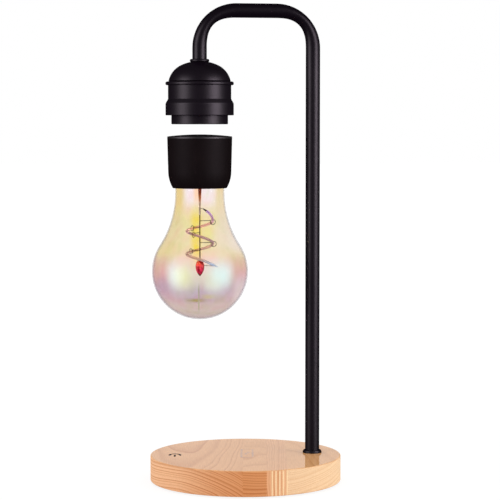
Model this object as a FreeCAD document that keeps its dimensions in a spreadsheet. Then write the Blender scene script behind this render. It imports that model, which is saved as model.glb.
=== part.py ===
import FreeCAD, Part
import math
import os
import re

import Sketcher
from FreeCAD import Placement, Rotation, Vector

# Magnetic balance lamp: a round wooden base, a bent tube arm, a lamp head with an
# electromagnet in it, and a glass bulb that floats below the head.
#
# Frame, in millimetres: the origin is the centre of the base on the table, +Z is up and
# +X points from the base's centre to the post. The arm lies in the XZ plane.

SIZES = {
    # wooden base
    "base_diameter": 160.0,
    "wood_thickness": 21.0,
    "wood_edge": 0.8,
    "web_thickness": 6.0,
    "cavity_inset": 18.0,
    "post_pocket_diameter": 21.0,
    "notch_width": 18.0,
    "notch_start": 31.0,
    "notch_inset": 10.5,
    # bottom cover, feet and ballast
    "cover_inset": 10.0,
    "cover_thickness": 2.0,
    "cover_gap": 0.3,
    "foot_diameter": 10.0,
    "foot_thickness": 2.0,
    "foot_proud": 1.0,
    "foot_edge": 0.5,
    "foot_inset": 24.0,
    "foot_count": 4.0,
    "ballast_gap": 4.0,
    "ballast_thickness": 2.5,
    # screws
    "screw_inset": 14.0,
    "screw_count": 4.0,
    "screw_thread": 2.9,
    "screw_head": 5.4,
    "screw_head_height": 1.4,
    "screw_length": 10.0,
    "screw_gap": 0.05,
    "small_thread": 2.0,
    "small_head": 3.8,
    "small_head_height": 1.2,
    "small_length": 3.6,
    # main board on its bosses
    "board_length": 76.0,
    "board_width": 44.0,
    "board_thickness": 1.6,
    "board_shift": -4.0,
    "board_inset": 4.0,
    "boss_diameter": 6.0,
    "boss_height": 4.0,
    "boss_gap": 0.4,
    "block_length": 12.0,
    "block_width": 7.0,
    "block_height": 4.4,
    "block_inset": 1.0,
    "choke_diameter": 10.0,
    "choke_height": 4.2,
    "choke_offset": 20.0,
    "chip_size": 7.0,
    "chip_height": 1.2,
    # phone charging coil under the top
    "pad_coil_diameter": 50.0,
    "pad_coil_hole": 20.0,
    "pad_coil_thickness": 1.6,
    "pad_ferrite_diameter": 52.0,
    "pad_ferrite_hole": 10.0,
    "pad_ferrite_thickness": 1.0,
    "pad_gap": 0.5,
    "plate_diameter": 66.0,
    "plate_thickness": 1.2,
    "plate_screw_circle": 59.0,
    "plate_screw_count": 3.0,
    "pad_lead_offset": 1.5,
    "pad_lead_reach": 19.0,
    "lead_diameter": 1.2,
    "lead_gap": 0.4,
    # touch switch
    "touch_inset": 20.8,
    "touch_y": 8.2,
    "touch_diameter": 13.0,
    "touch_thickness": 1.0,
    "touch_wood": 2.0,
    "touch_chip": 4.0,
    "touch_chip_height": 0.8,
    "touch_lead_inset": 4.0,
    "touch_lead_diameter": 1.6,
    "touch_lead_turn": 5.0,
    # charging inlet
    "jack_height": 10.0,
    "jack_barrel": 8.0,
    "jack_flange": 11.0,
    "jack_flange_thickness": 1.5,
    "jack_length": 13.0,
    "jack_setback": 1.0,
    "jack_bore": 5.6,
    "jack_depth": 10.0,
    "jack_pin_diameter": 2.1,
    "jack_pin_length": 9.0,
    "jack_pin_root": 3.2,
    "jack_gap": 0.2,
    "jack_nut_width": 11.0,
    "jack_nut_thickness": 2.0,
    "tab_length": 3.5,
    "tab_width": 1.6,
    "tab_thickness": 0.5,
    "tab_spread": 2.2,
    # arm
    "lamp_height": 399.5,
    "post_inset": 22.8,
    "arm_span": 95.7,
    "arm_drop": 40.3,
    "tube_diameter": 12.0,
    "tube_wall": 1.0,
    "bend_radius": 31.0,
    "bend_flattening": 2.2,
    "bend_swell": 0.8,
    "foot_collar_diameter": 16.0,
    "foot_collar_height": 2.3,
    "foot_collar_step": 0.9,
    "neck_collar_diameter": 16.0,
    "neck_collar_height": 2.6,
    "neck_collar_bulge": 1.56,
    "nipple_bore": 7.0,
    "foot_nipple_reach": 12.0,
    "head_nipple_reach": 8.0,
    "nipple_proud": 0.8,
    "thread_gap": 0.05,
    "nut_width": 14.0,
    "nut_thickness": 3.0,
    "washer_diameter": 19.6,
    "washer_thickness": 1.0,
    "cable_diameter": 3.4,
    "cable_turn": 4.2,
    # lamp head
    "head_diameter": 52.4,
    "head_wall": 2.0,
    "dome_rise": 20.6,
    "dome_shoulder": 19.0,
    "dome_skirt": 3.6,
    "dome_edge": 0.6,
    "dome_land": 8.6,
    "spigot_wall": 1.7,
    "spigot_depth": 5.5,
    "spigot_gap": 0.1,
    "rim_diameter": 56.6,
    "rim_height": 2.9,
    "rim_edge": 1.3,
    "waist_height": 11.5,
    "flare_height": 3.7,
    "band_diameter": 56.6,
    "band_height": 9.8,
    "band_shoulder": 0.8,
    "band_chamfer": 0.4,
    "ledge_width": 1.7,
    "ledge_height": 1.5,
    "lip_height": 1.8,
    "ring_diameter": 47.0,
    "ring_height": 7.4,
    "ring_wall": 1.6,
    "ring_floor": 1.5,
    "ring_gap": 0.2,
    "ring_flange_thickness": 1.5,
    "ring_chamfer": 0.5,
    # electromagnet stack in the head
    "power_coil_diameter": 42.0,
    "power_coil_hole": 20.0,
    "power_coil_thickness": 1.5,
    "hall_board_diameter": 12.0,
    "hall_board_thickness": 0.8,
    "hall_sensor_size": 4.0,
    "hall_sensor_height": 1.2,
    "power_ferrite_diameter": 42.6,
    "power_ferrite_thickness": 1.0,
    "bias_magnet_diameter": 40.0,
    "bias_magnet_hole": 13.0,
    "bias_magnet_thickness": 5.0,
    "bobbin_diameter": 41.0,
    "bobbin_height": 14.0,
    "bobbin_flange": 1.0,
    "bobbin_wall": 1.2,
    "winding_diameter": 38.6,
    "winding_gap": 0.05,
    "core_diameter": 10.0,
    "core_gap": 0.1,
    "core_plate_diameter": 32.0,
    "core_plate_thickness": 2.0,
    "drive_board_thickness": 1.6,
    "drive_block_size": 8.0,
    "drive_block_height": 5.0,
    "drive_chip_offset": 12.0,
    # floating bulb: cap and what is in it
    "levitation_gap": 8.4,
    "cap_top_diameter": 53.9,
    "cap_side_diameter": 52.5,
    "cap_bottom_diameter": 44.8,
    "cap_height": 42.9,
    "cap_round": 14.0,
    "cap_shelf_inset": 2.95,
    "holder_level": 35.4,
    "driver_level": 20.5,
    "lid_rise": 1.6,
    "lid_thickness": 1.6,
    "lid_edge": 0.6,
    "lid_spigot": 2.0,
    "lid_spigot_wall": 1.5,
    "lid_gap": 0.1,
    "magnet_diameter": 20.0,
    "magnet_thickness": 8.0,
    "magnet_chamfer": 0.5,
    "magnet_gap": 0.3,
    "holder_wall": 1.2,
    "holder_flange": 1.5,
    "holder_drop": 6.5,
    "holder_rise": 2.0,
    "receiver_diameter": 44.0,
    "receiver_ferrite_thickness": 1.0,
    "receiver_coil_thickness": 1.2,
    "driver_board_thickness": 1.2,
    "driver_chip_size": 8.0,
    "driver_chip_height": 3.0,
    "driver_chip_offset": 8.0,
    # glass bulb
    "globe_diameter": 80.0,
    "globe_drop": 69.4,
    "neck_diameter": 41.0,
    "neck_flare": 80.0,
    "neck_insert": 15.5,
    "glass_wall": 0.8,
    "cement_gap": 0.6,
    "cement_inset": 3.5,
    # stem and filament
    "stem_flare_depth": 9.0,
    "stem_funnel_radius": 27.0,
    "stem_throat": 6.0,
    "stem_waist": 3.0,
    "stem_pinch": 2.0,
    "stem_pinch_level": 59.8,
    "stem_tip": 1.6,
    "stem_tip_level": 47.0,
    "stem_gap": 0.05,
    "stem_lead_spread": 1.6,
    "stem_lead_diameter": 0.6,
    "rod_diameter": 1.0,
    "bead_diameter": 7.4,
    "bead_top_level": 9.6,
    "bead_tip_level": -4.2,
    "bead_neck": 2.6,
    "bead_widest": 8.3,
    "filament_diameter": 2.2,
    "filament_radius": 10.9,
    "filament_pitch": 19.1,
    "filament_turns": 1.8,
    "filament_level": 42.3,
    "filament_start_level": 50.1,
    "filament_start_radius": 6.4,
    "filament_lean": 1.3,
    "filament_tail": 7.5,
    "filament_tail_drop": 3.4,
    "clip_diameter": 1.8,
    "clip_tip": 0.7,
    "clip_length": 3.6,
    "wire_diameter": 0.4,
    "wire_offset": 1.0,
    "hook_wire": 0.5,
    "hook_ring": 4.4,
    "hook_slack": 0.65,
    "hook_rise": 1.2,
    "hook_angle_one": 12.0,
    "hook_angle_two": 115.0,
    "hook_angle_three": 235.0,
    "hook_angle_four": 360.0,
    "hook_angle_five": 482.0,
}

document = FreeCAD.newDocument("MagneticBalanceLamp")
sheet = document.addObject("Spreadsheet::Sheet", "Sizes")
for row, (alias, number) in enumerate(SIZES.items(), start=1):
    sheet.set(f"A{row}", alias)
    sheet.set(f"B{row}", str(number))
    sheet.setAlias(f"B{row}", alias)
document.recompute()

sub_parts = []

# ---------------------------------------------------------------- expressions


def qualified(text):
    """An expression with each size's name written as a cell of the sheet."""
    return re.sub(r"\b[a-z]+(?:_[a-z]+)+\b", lambda match: "Sizes." + match.group(0), text)


def value(text):
    """The number that an expression over the sheet comes to."""
    result = sheet.evalExpression(qualified(text))
    return float(getattr(result, "Value", result))


def bind(feature, name, text):
    """Tie one property of a feature to an expression over the sheet."""
    feature.setExpression(name, qualified(text))


# Places on the base, measured in from its edge.
BASE_RADIUS = "(base_diameter / 2)"
COVER_RADIUS = f"({BASE_RADIUS} - cover_inset)"
CAVITY_RADIUS = f"({BASE_RADIUS} - cavity_inset)"
NOTCH_REACH = f"({BASE_RADIUS} - notch_inset)"
SCREW_REACH = f"({BASE_RADIUS} - screw_inset)"
FOOT_REACH = f"({BASE_RADIUS} - foot_inset)"
POST_X = f"({BASE_RADIUS} - post_inset)"
TOUCH_X = f"(touch_inset - {BASE_RADIUS})"

# Heights above the table.
WOOD_TOP = "(foot_proud + wood_thickness)"
COVER_TOP = "(foot_proud + cover_thickness)"
WEB_BOTTOM = f"({WOOD_TOP} - web_thickness)"
BOARD_BOTTOM = f"({COVER_TOP} + boss_height)"
BOARD_TOP = f"({BOARD_BOTTOM} + board_thickness)"
BOARD_MIDDLE = f"({BOARD_BOTTOM} + board_thickness / 2)"
COIL_BOTTOM = f"({WEB_BOTTOM} + pad_ferrite_thickness)"
TOUCH_TOP = f"({WOOD_TOP} - touch_wood)"
TUBE_FOOT = f"({WOOD_TOP} + foot_collar_height)"
ARM_AXIS = "(lamp_height - tube_diameter / 2)"
TUBE_END = f"({ARM_AXIS} - arm_drop)"
BEND_LEVEL = f"({ARM_AXIS} - bend_radius)"
LAND = f"({TUBE_END} - neck_collar_height)"

# The dome's outline is a three-centred arch: a crown arc about the axis and a shoulder arc.
# Its spring line, where it would be widest, lies a little below the rim that cuts it off.
HEAD_RADIUS = "(head_diameter / 2)"
SHOULDER_X = f"({HEAD_RADIUS} - dome_shoulder)"
CROWN = f"(({SHOULDER_X}^2 + dome_rise^2 - dome_shoulder^2) / (2 * (dome_rise - dome_shoulder)))"
CROWN_Z = f"(dome_rise - {CROWN})"
CROWN_SHARE_X = f"({SHOULDER_X} / ({CROWN} - dome_shoulder))"
CROWN_SHARE_Z = f"(-{CROWN_Z} / ({CROWN} - dome_shoulder))"
LAND_RISE = f"({CROWN_Z} + sqrt({CROWN}^2 - dome_land^2))"
SPRING_LINE = f"({LAND} - {LAND_RISE})"
RIM_TOP = f"({SPRING_LINE} + dome_skirt)"
BAND_BOTTOM = f"({RIM_TOP} - rim_height - waist_height - flare_height - band_height)"
HEAD_BOTTOM = f"({BAND_BOTTOM} - ring_height)"
LEDGE_TOP = f"({RIM_TOP} - spigot_depth - drive_board_thickness)"
DRIVE_BOARD_TOP = f"({RIM_TOP} - spigot_depth)"

STACK_FLOOR = f"({HEAD_BOTTOM} + ring_floor)"
POWER_FERRITE_LEVEL = f"({STACK_FLOOR} + power_coil_thickness)"
BIAS_LEVEL = f"({POWER_FERRITE_LEVEL} + power_ferrite_thickness)"
BOBBIN_LEVEL = f"({BIAS_LEVEL} + bias_magnet_thickness)"
CORE_PLATE_LEVEL = f"({BOBBIN_LEVEL} + bobbin_height)"

BULB_TOP = f"({HEAD_BOTTOM} - levitation_gap)"
CAP_BOTTOM = f"({BULB_TOP} - lid_rise - cap_height)"
LID_SEAT = "(cap_height - lid_thickness)"
HOLDER_TOP = f"({CAP_BOTTOM} + holder_level + holder_flange)"
MAGNET_LEVEL = f"({CAP_BOTTOM} + holder_level - holder_drop + magnet_gap)"
GLOBE_CENTRE = f"({CAP_BOTTOM} - globe_drop)"

# Radii that pieces share.
NIPPLE_RADIUS = "(tube_diameter / 2 - tube_wall - thread_gap)"
NIPPLE_HOLE = "(tube_diameter / 2 - tube_wall)"
HEAD_AXIS = f"({POST_X} - arm_span)"
HEAD_BORE = f"({HEAD_RADIUS} - head_wall)"
BAND_BORE = "(band_diameter / 2 - head_wall)"
CAP_SHELF_RADIUS = "(cap_side_diameter / 2 - cap_shelf_inset)"
CAP_BORE = "(cap_side_diameter / 2 - lid_spigot_wall)"
NECK_RADIUS = "(neck_diameter / 2)"
COLLAR_OPENING = "(neck_diameter / 2 + cement_gap)"
HOLDER_BORE = "(magnet_diameter / 2 + magnet_gap)"
HOLDER_RADIUS = f"({HOLDER_BORE} + holder_wall)"

# ------------------------------------------------------------------ modelling


def keep(feature):
    """List a feature as a sub-part of the lamp."""
    sub_parts.append(feature)
    return feature


def place(feature, x="0", y="0", z="0"):
    for axis, text in zip("xyz", (x, y, z)):
        if text != "0":
            bind(feature, f".Placement.Base.{axis}", text)


def new_body(name, x="0", y="0", z="0"):
    """A body that is one sub-part, with its own place in the lamp."""
    body = document.addObject("PartDesign::Body", name)
    body.Label = name
    place(body, x, y, z)
    return keep(body)


def origin_feature(body, role):
    return next(item for item in body.Origin.OriginFeatures if item.Role == role)


def circle(x, y, radius):
    """A circle for a sketch, with its centre and radius bound to the sheet."""
    def add(sketch):
        centre = Vector(value(x), value(y), 0)
        edge = sketch.addGeometry(Part.Circle(centre, Vector(0, 0, 1), value(radius)))
        constrain_point(sketch, edge, 3, x, y)
        constrain(sketch, ("Radius", edge, value(radius)), radius)
    return add


def constrain(sketch, terms, text):
    index = sketch.addConstraint(Sketcher.Constraint(*terms))
    bind(sketch, f"Constraints[{index}]", text)


def constrain_point(sketch, edge, point, x, y):
    """Hold one point of an edge at a place measured from the sketch's origin."""
    constrain(sketch, ("DistanceX", -1, 1, edge, point, value(x)), x)
    constrain(sketch, ("DistanceY", -1, 1, edge, point, value(y)), y)


def arc_between(start, end, radius, side):
    """The shorter arc from start to end whose centre lies on the given side of the way."""
    chord = end - start
    rise = math.sqrt(max(radius ** 2 - (chord.Length / 2) ** 2, 0))
    across = Vector(-chord.y, chord.x, 0).normalize() * rise
    centre = (start + end) * 0.5 + (across if side == "left" else -across)
    first, last = (start, end) if side == "left" else (end, start)
    angles = [math.atan2(point.y - centre.y, point.x - centre.x) for point in (first, last)]
    return Part.ArcOfCircle(Part.Circle(centre, Vector(0, 0, 1), radius), *angles)


def outline(*corners, closed=True):
    """A line through corners, each (x, y), or (x, y, radius, side) where an arc arrives."""
    def add(sketch):
        points = [Vector(value(corner[0]), value(corner[1]), 0) for corner in corners]
        edges = []
        for index in range(0 if closed else 1, len(corners)):
            start, end, corner = points[index - 1], points[index], corners[index]
            if len(corner) == 2:
                edge = sketch.addGeometry(Part.LineSegment(start, end))
                edges.append((edge, 1, 2, corner))
            else:
                side = corner[3]
                arc = arc_between(start, end, value(corner[2]), side)
                edge = sketch.addGeometry(arc)
                constrain(sketch, ("Radius", edge, value(corner[2])), corner[2])
                first, last = (1, 2) if side == "left" else (2, 1)
                edges.append((edge, first, last, corner))
        for this, after in zip(edges, edges[1:] + edges[:1]):
            constrain_point(sketch, this[0], this[2], this[3][0], this[3][1])
            if closed or after is not edges[0]:
                joined = Sketcher.Constraint("Coincident", this[0], this[2], after[0], after[1])
                sketch.addConstraint(joined)
        if not closed:
            constrain_point(sketch, edges[0][0], edges[0][1], corners[0][0], corners[0][1])
    return add


def rectangle(x, y, length, width):
    """A rectangle for a sketch, about the centre x, y."""
    left, right = f"({x}) - ({length}) / 2", f"({x}) + ({length}) / 2"
    low, high = f"({y}) - ({width}) / 2", f"({y}) + ({width}) / 2"
    return outline((left, low), (right, low), (right, high), (left, high))


def hexagon(width):
    """A hexagon about the sketch's origin, with its width across flats."""
    reach = f"({width}) / sqrt(3)"
    turns = [(f"{reach} * cos({60 * step} deg)", f"{reach} * sin({60 * step} deg)")
             for step in range(6)]
    return outline(*turns)


def draw(body, name, role, shapes, x="0", y="0", z="0", turn=0.0):
    """A sketch on one of the body's own planes, moved along and turned about its own axes."""
    sketch = body.newObject("Sketcher::SketchObject", name)
    sketch.AttachmentSupport = [(origin_feature(body, role), "")]
    sketch.MapMode = "FlatFace"
    sketch.AttachmentOffset = Placement(Vector(), Rotation(Vector(0, 1, 0), turn))
    for axis, text in zip("xyz", (x, y, z)):
        if text != "0":
            bind(sketch, f".AttachmentOffset.Base.{axis}", text)
    for add in shapes:
        add(sketch)
    sketch.Visibility = False
    return sketch


def volume(body):
    document.recompute()
    return body.Shape.Volume


def upright(body, name, shapes, reach, angle):
    """A sketch of radius and height about a line parallel to Z, at a reach and an angle."""
    return draw(body, name + "_outline", "XZ_Plane", shapes, x=f"({reach}) * cos({angle} deg)",
                z=f"-({reach}) * sin({angle} deg)", turn=angle)


def revolve(body, name, shapes, reach="0", angle=0.0):
    """Turn an outline drawn as radius and height about a line parallel to Z."""
    feature = body.newObject("PartDesign::Revolution", name)
    feature.Profile = upright(body, name, shapes, reach, angle)
    feature.ReferenceAxis = (feature.Profile[0], ["V_Axis"])
    feature.Angle = 360
    return feature


def groove(body, name, shapes, reach="0", angle=0.0):
    """Turn an outline about a line parallel to Z and take it away."""
    before = volume(body)
    feature = body.newObject("PartDesign::Groove", name)
    feature.Profile = upright(body, name, shapes, reach, angle)
    feature.ReferenceAxis = (feature.Profile[0], ["V_Axis"])
    feature.Angle = 360
    must_shrink(body, name, before)
    return feature


def pad(body, name, shapes, height, start="0"):
    """Raise shapes drawn in XY by a height, from a start above the body's origin."""
    feature = body.newObject("PartDesign::Pad", name)
    feature.Profile = draw(body, name + "_outline", "XY_Plane", shapes, z=start)
    bind(feature, "Length", height)
    return feature


def pocket(body, name, shapes, depth, start="0", role="XY_Plane", upward=True):
    """Cut shapes away over a depth, upward from the start or against the plane's normal."""
    before = volume(body)
    feature = body.newObject("PartDesign::Pocket", name)
    feature.Profile = draw(body, name + "_outline", role, shapes, z=start)
    bind(feature, "Length", depth)
    feature.Reversed = upward
    must_shrink(body, name, before)
    return feature


def must_shrink(body, name, before):
    if not volume(body) < before - 1e-6:
        raise RuntimeError(f"{name} takes nothing away from {body.Label}")


def polar(body, feature, count):
    """Repeat a feature evenly about the body's Z axis."""
    pattern = body.newObject("PartDesign::PolarPattern", feature.Name + "_pattern")
    pattern.Originals = [feature]
    pattern.Axis = (origin_feature(body, "Z_Axis"), [""])
    pattern.Angle = 360
    bind(pattern, "Occurrences", count)
    body.Tip = pattern
    return pattern


def turned(name, *corners, x="0", y="0", z="0"):
    """A sub-part that is one turned outline of radius and height."""
    body = new_body(name, x, y, z)
    revolve(body, name + "_turning", [outline(*corners)])
    return body


def washer_shape(name, outer, inner, thickness, x="0", y="0", z="0"):
    """A flat ring: a coil, a ferrite sheet, a magnet or a washer."""
    return turned(name, (inner, "0"), (outer, "0"), (outer, thickness), (inner, thickness),
                  x=x, y=y, z=z)


def locknut(name, width, thickness, bore, x, y, z):
    body = new_body(name, x, y, z)
    pad(body, name + "_blank", [hexagon(width), circle("0", "0", bore)], thickness)
    return body


def pipe(body, name, section, route, role="XZ_Plane", start="0", section_role="XY_Plane"):
    """Run a section along a route drawn on one of the body's planes."""
    feature = body.newObject("PartDesign::AdditivePipe", name)
    feature.Profile = draw(body, name + "_section", section_role, section, z=start)
    spine = draw(body, name + "_route", role, [route])
    feature.Spine = (spine, [])
    return feature


def shaped(name, shape, x="0", z="0"):
    """A sub-part whose shape is made by Part's own functions about its own origin."""
    feature = document.addObject("Part::Feature", name)
    feature.Label = name
    feature.Shape = shape
    feature.Placement = Placement(Vector(value(x), 0, value(z)), Rotation())
    place(feature, x, "0", z)
    return keep(feature)


def straight_wire(start, end, radius):
    return Part.makeCylinder(radius, (end - start).Length, start, end - start)


# ----------------------------------------------------------------------- base

SCREW_ANGLE = 45.0
PLATE_SCREW_ANGLE = 30.0


def board_corners():
    """The four places of the main board's bosses and screws."""
    reach_x = "(board_length / 2 - board_inset)"
    reach_y = "(board_width / 2 - board_inset)"
    return [(f"(board_shift + {sx} * {reach_x})", f"({sy} * {reach_y})")
            for sx in (-1, 1) for sy in (-1, 1)]


def ring_points(radius, count, angle):
    """Places spread evenly on a circle, the first at an angle in degrees."""
    number = int(round(value(count)))
    return [(f"{radius} * cos({angle + 360 * step / number} deg)",
             f"{radius} * sin({angle + 360 * step / number} deg)") for step in range(number)]


def make_wood_base():
    body = new_body("wood_base", z="foot_proud")
    wood = BASE_RADIUS
    rebate = f"{COVER_RADIUS} + cover_gap"
    ceiling = "wood_thickness - web_thickness"
    cavity = CAVITY_RADIUS
    revolve(body, "wood_turning", [outline(
        ("0", ceiling), (cavity, ceiling), (cavity, "cover_thickness"),
        (rebate, "cover_thickness"), (rebate, "0"), (f"{wood} - wood_edge", "0"),
        (wood, "wood_edge", "wood_edge", "left"), (wood, "wood_thickness - wood_edge"),
        (f"{wood} - wood_edge", "wood_thickness", "wood_edge", "left"),
        ("0", "wood_thickness"))])
    pocket(body, "coil_pocket", [circle("0", "0", "pad_ferrite_diameter / 2 + pad_gap")],
           "pad_coil_thickness + pad_ferrite_thickness", start=ceiling)
    pocket(body, "touch_pocket",
           [circle(TOUCH_X, "touch_y", "touch_diameter / 2 + pad_gap")],
           "wood_thickness - touch_wood - cover_thickness", start="cover_thickness")
    pocket(body, "post_pocket", [circle(POST_X, "0", "post_pocket_diameter / 2")],
           f"{ceiling} - cover_thickness", start="cover_thickness")
    pocket(body, "jack_notch", [rectangle("0", f"({NOTCH_REACH} + notch_start) / 2",
                                          "notch_width", f"{NOTCH_REACH} - notch_start")],
           f"{ceiling} - cover_thickness", start="cover_thickness")
    pocket(body, "post_hole", [circle(POST_X, "0", NIPPLE_HOLE)],
           "web_thickness", start=ceiling)
    height = "jack_height - foot_proud"
    pocket(body, "jack_hole", [circle("0", height, "jack_barrel / 2 + jack_gap")],
           BASE_RADIUS, role="XZ_Plane", upward=False)
    pocket(body, "jack_counterbore", [circle("0", height, "jack_flange / 2 + jack_gap")],
           "jack_flange_thickness + jack_setback + wood_edge", role="XZ_Plane", upward=False,
           start=f"-({BASE_RADIUS} - jack_setback - jack_flange_thickness)")
    pilot = "screw_thread / 2 + screw_gap"
    pocket(body, "cover_pilots",
           [circle(x, y, pilot) for x, y in ring_points(SCREW_REACH, "screw_count", SCREW_ANGLE)],
           "screw_length - cover_thickness + screw_gap", start="cover_thickness")
    places = ring_points("plate_screw_circle / 2", "plate_screw_count", PLATE_SCREW_ANGLE)
    pocket(body, "plate_pilots",
           [circle(x, y, "small_thread / 2 + screw_gap") for x, y in places],
           "small_length - plate_thickness + screw_gap", start=ceiling)


def make_bottom_cover():
    body = new_body("bottom_cover", z="foot_proud")
    pad(body, "cover_disc", [circle("0", "0", COVER_RADIUS)], "cover_thickness")
    pad(body, "board_bosses", [circle(x, y, "boss_diameter / 2") for x, y in board_corners()],
        "boss_height", start="cover_thickness")
    pocket(body, "boss_pilots",
           [circle(x, y, "small_thread / 2 + screw_gap") for x, y in board_corners()],
           "boss_height", start="cover_thickness")
    pocket(body, "foot_seats",
           [circle(x, y, "foot_diameter / 2 + screw_gap")
            for x, y in ring_points(FOOT_REACH, "foot_count", SCREW_ANGLE)],
           "foot_thickness - foot_proud")
    sink = "screw_head / 2 + screw_gap"
    hole = "screw_thread / 2 + screw_gap"
    seat = groove(body, "screw_seat", [outline(
        ("0", "0"), (sink, "0"), (hole, "screw_head_height"),
        (hole, "cover_thickness"), ("0", "cover_thickness"))], SCREW_REACH, SCREW_ANGLE)
    polar(body, seat, "screw_count")


def make_rubber_feet():
    body = new_body("rubber_feet")
    body.AllowCompound = True
    radius = "foot_diameter / 2"
    foot = revolve(body, "foot_turning", [outline(
        ("0", "0"), (f"{radius} - foot_edge", "0"), (radius, "foot_edge", "foot_edge", "left"),
        (radius, "foot_thickness"), ("0", "foot_thickness"))], FOOT_REACH, SCREW_ANGLE)
    polar(body, foot, "foot_count")


def make_cover_screws():
    """Countersunk wood screws, driven up through the cover into the wood."""
    body = new_body("cover_screws", z="foot_proud")
    body.AllowCompound = True
    shank = "screw_thread / 2"
    screw = revolve(body, "screw_turning", [outline(
        ("0", "0"), ("screw_head / 2", "0"), (shank, "screw_head_height"),
        (shank, f"screw_length - {shank}"), ("0", "screw_length"))],
        SCREW_REACH, SCREW_ANGLE)
    polar(body, screw, "screw_count")


def make_ballast_plate():
    body = new_body("ballast_plate", z=COVER_TOP)
    holes = [circle(x, y, "boss_diameter / 2 + boss_gap") for x, y in board_corners()]
    pad(body, "ballast_blank", [circle("0", "0", f"{CAVITY_RADIUS} - ballast_gap")] + holes,
        "ballast_thickness")


def make_main_board():
    body = new_body("main_board", z=BOARD_BOTTOM)
    holes = [circle(x, y, "small_thread / 2 + screw_gap") for x, y in board_corners()]
    pad(body, "board_blank", [rectangle("board_shift", "0", "board_length", "board_width")] + holes,
        "board_thickness")
    block_y = "board_width / 2 - block_inset - block_width / 2"
    pad(body, "power_block", [rectangle("0", block_y, "block_length", "block_width")],
        "block_height", start="board_thickness")
    pad(body, "chokes", [circle(f"board_shift + {side} * choke_offset", "0", "choke_diameter / 2")
                         for side in (-1, 1)],
        "choke_height", start="board_thickness")
    pad(body, "controller", [rectangle("0", "0", "chip_size", "chip_size")],
        "chip_height", start="board_thickness")


def make_board_screws():
    """Pan head screws, driven down through the main board into the cover's bosses."""
    body = new_body("board_screws", z=BOARD_TOP)
    body.AllowCompound = True
    pad(body, "screw_heads", [circle(x, y, "small_head / 2") for x, y in board_corners()],
        "small_head_height")
    pad(body, "screw_shanks", [circle(x, y, "small_thread / 2") for x, y in board_corners()],
        "small_length", start="-small_length")


def make_charging_coil():
    washer_shape("charging_coil", "pad_coil_diameter / 2", "pad_coil_hole / 2",
                 "pad_coil_thickness", z=COIL_BOTTOM)
    body = washer_shape("charging_ferrite", "pad_ferrite_diameter / 2", "pad_ferrite_hole / 2",
                        "pad_ferrite_thickness", z=WEB_BOTTOM)
    pocket(body, "ferrite_lead_holes", lead_holes(), "pad_ferrite_thickness")
    body = new_body("coil_plate", z=f"({WEB_BOTTOM} - plate_thickness)")
    places = ring_points("plate_screw_circle / 2", "plate_screw_count", PLATE_SCREW_ANGLE)
    holes = [circle(x, y, "small_thread / 2 + screw_gap") for x, y in places]
    pad(body, "plate_blank", [circle("0", "0", "plate_diameter / 2")] + holes + lead_holes(),
        "plate_thickness")


def lead_places():
    return [(f"({side} * pad_lead_offset)", "(-pad_lead_reach)") for side in (-1, 1)]


def lead_holes():
    return [circle(x, y, "lead_diameter / 2 + lead_gap / 2") for x, y in lead_places()]


def make_coil_screws():
    body = new_body("coil_screws", z=f"({WEB_BOTTOM} - plate_thickness)")
    body.AllowCompound = True
    places = ring_points("plate_screw_circle / 2", "plate_screw_count", PLATE_SCREW_ANGLE)
    pad(body, "coil_screw_heads", [circle(x, y, "small_head / 2") for x, y in places],
        "small_head_height", start="-small_head_height")
    pad(body, "coil_screw_shanks", [circle(x, y, "small_thread / 2") for x, y in places],
        "small_length")


def make_coil_leads():
    body = new_body("coil_leads", z=BOARD_TOP)
    body.AllowCompound = True
    pad(body, "coil_lead_wires", [circle(x, y, "lead_diameter / 2") for x, y in lead_places()],
        f"{COIL_BOTTOM} - {BOARD_TOP}")


def make_touch_switch():
    body = new_body("touch_board", TOUCH_X, "touch_y", f"({TOUCH_TOP} - touch_thickness)")
    pad(body, "touch_disc", [circle("0", "0", "touch_diameter / 2")], "touch_thickness")
    pad(body, "touch_chip_block", [rectangle("0", "0", "touch_chip", "touch_chip")],
        "touch_chip_height + touch_thickness / 2", start="-touch_chip_height")
    body = new_body("touch_lead", f"{TOUCH_X} + touch_lead_inset", "touch_y")
    board_end = f"(board_shift - board_length / 2) - {TOUCH_X} - touch_lead_inset"
    top = f"({TOUCH_TOP} - touch_thickness)"
    route = outline(
        ("0", top), ("0", f"{BOARD_MIDDLE} + touch_lead_turn"),
        ("touch_lead_turn", BOARD_MIDDLE, "touch_lead_turn", "left"),
        (board_end, BOARD_MIDDLE), closed=False)
    pipe(body, "touch_wire", [circle("0", "0", "touch_lead_diameter / 2")], route, start=top)


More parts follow.
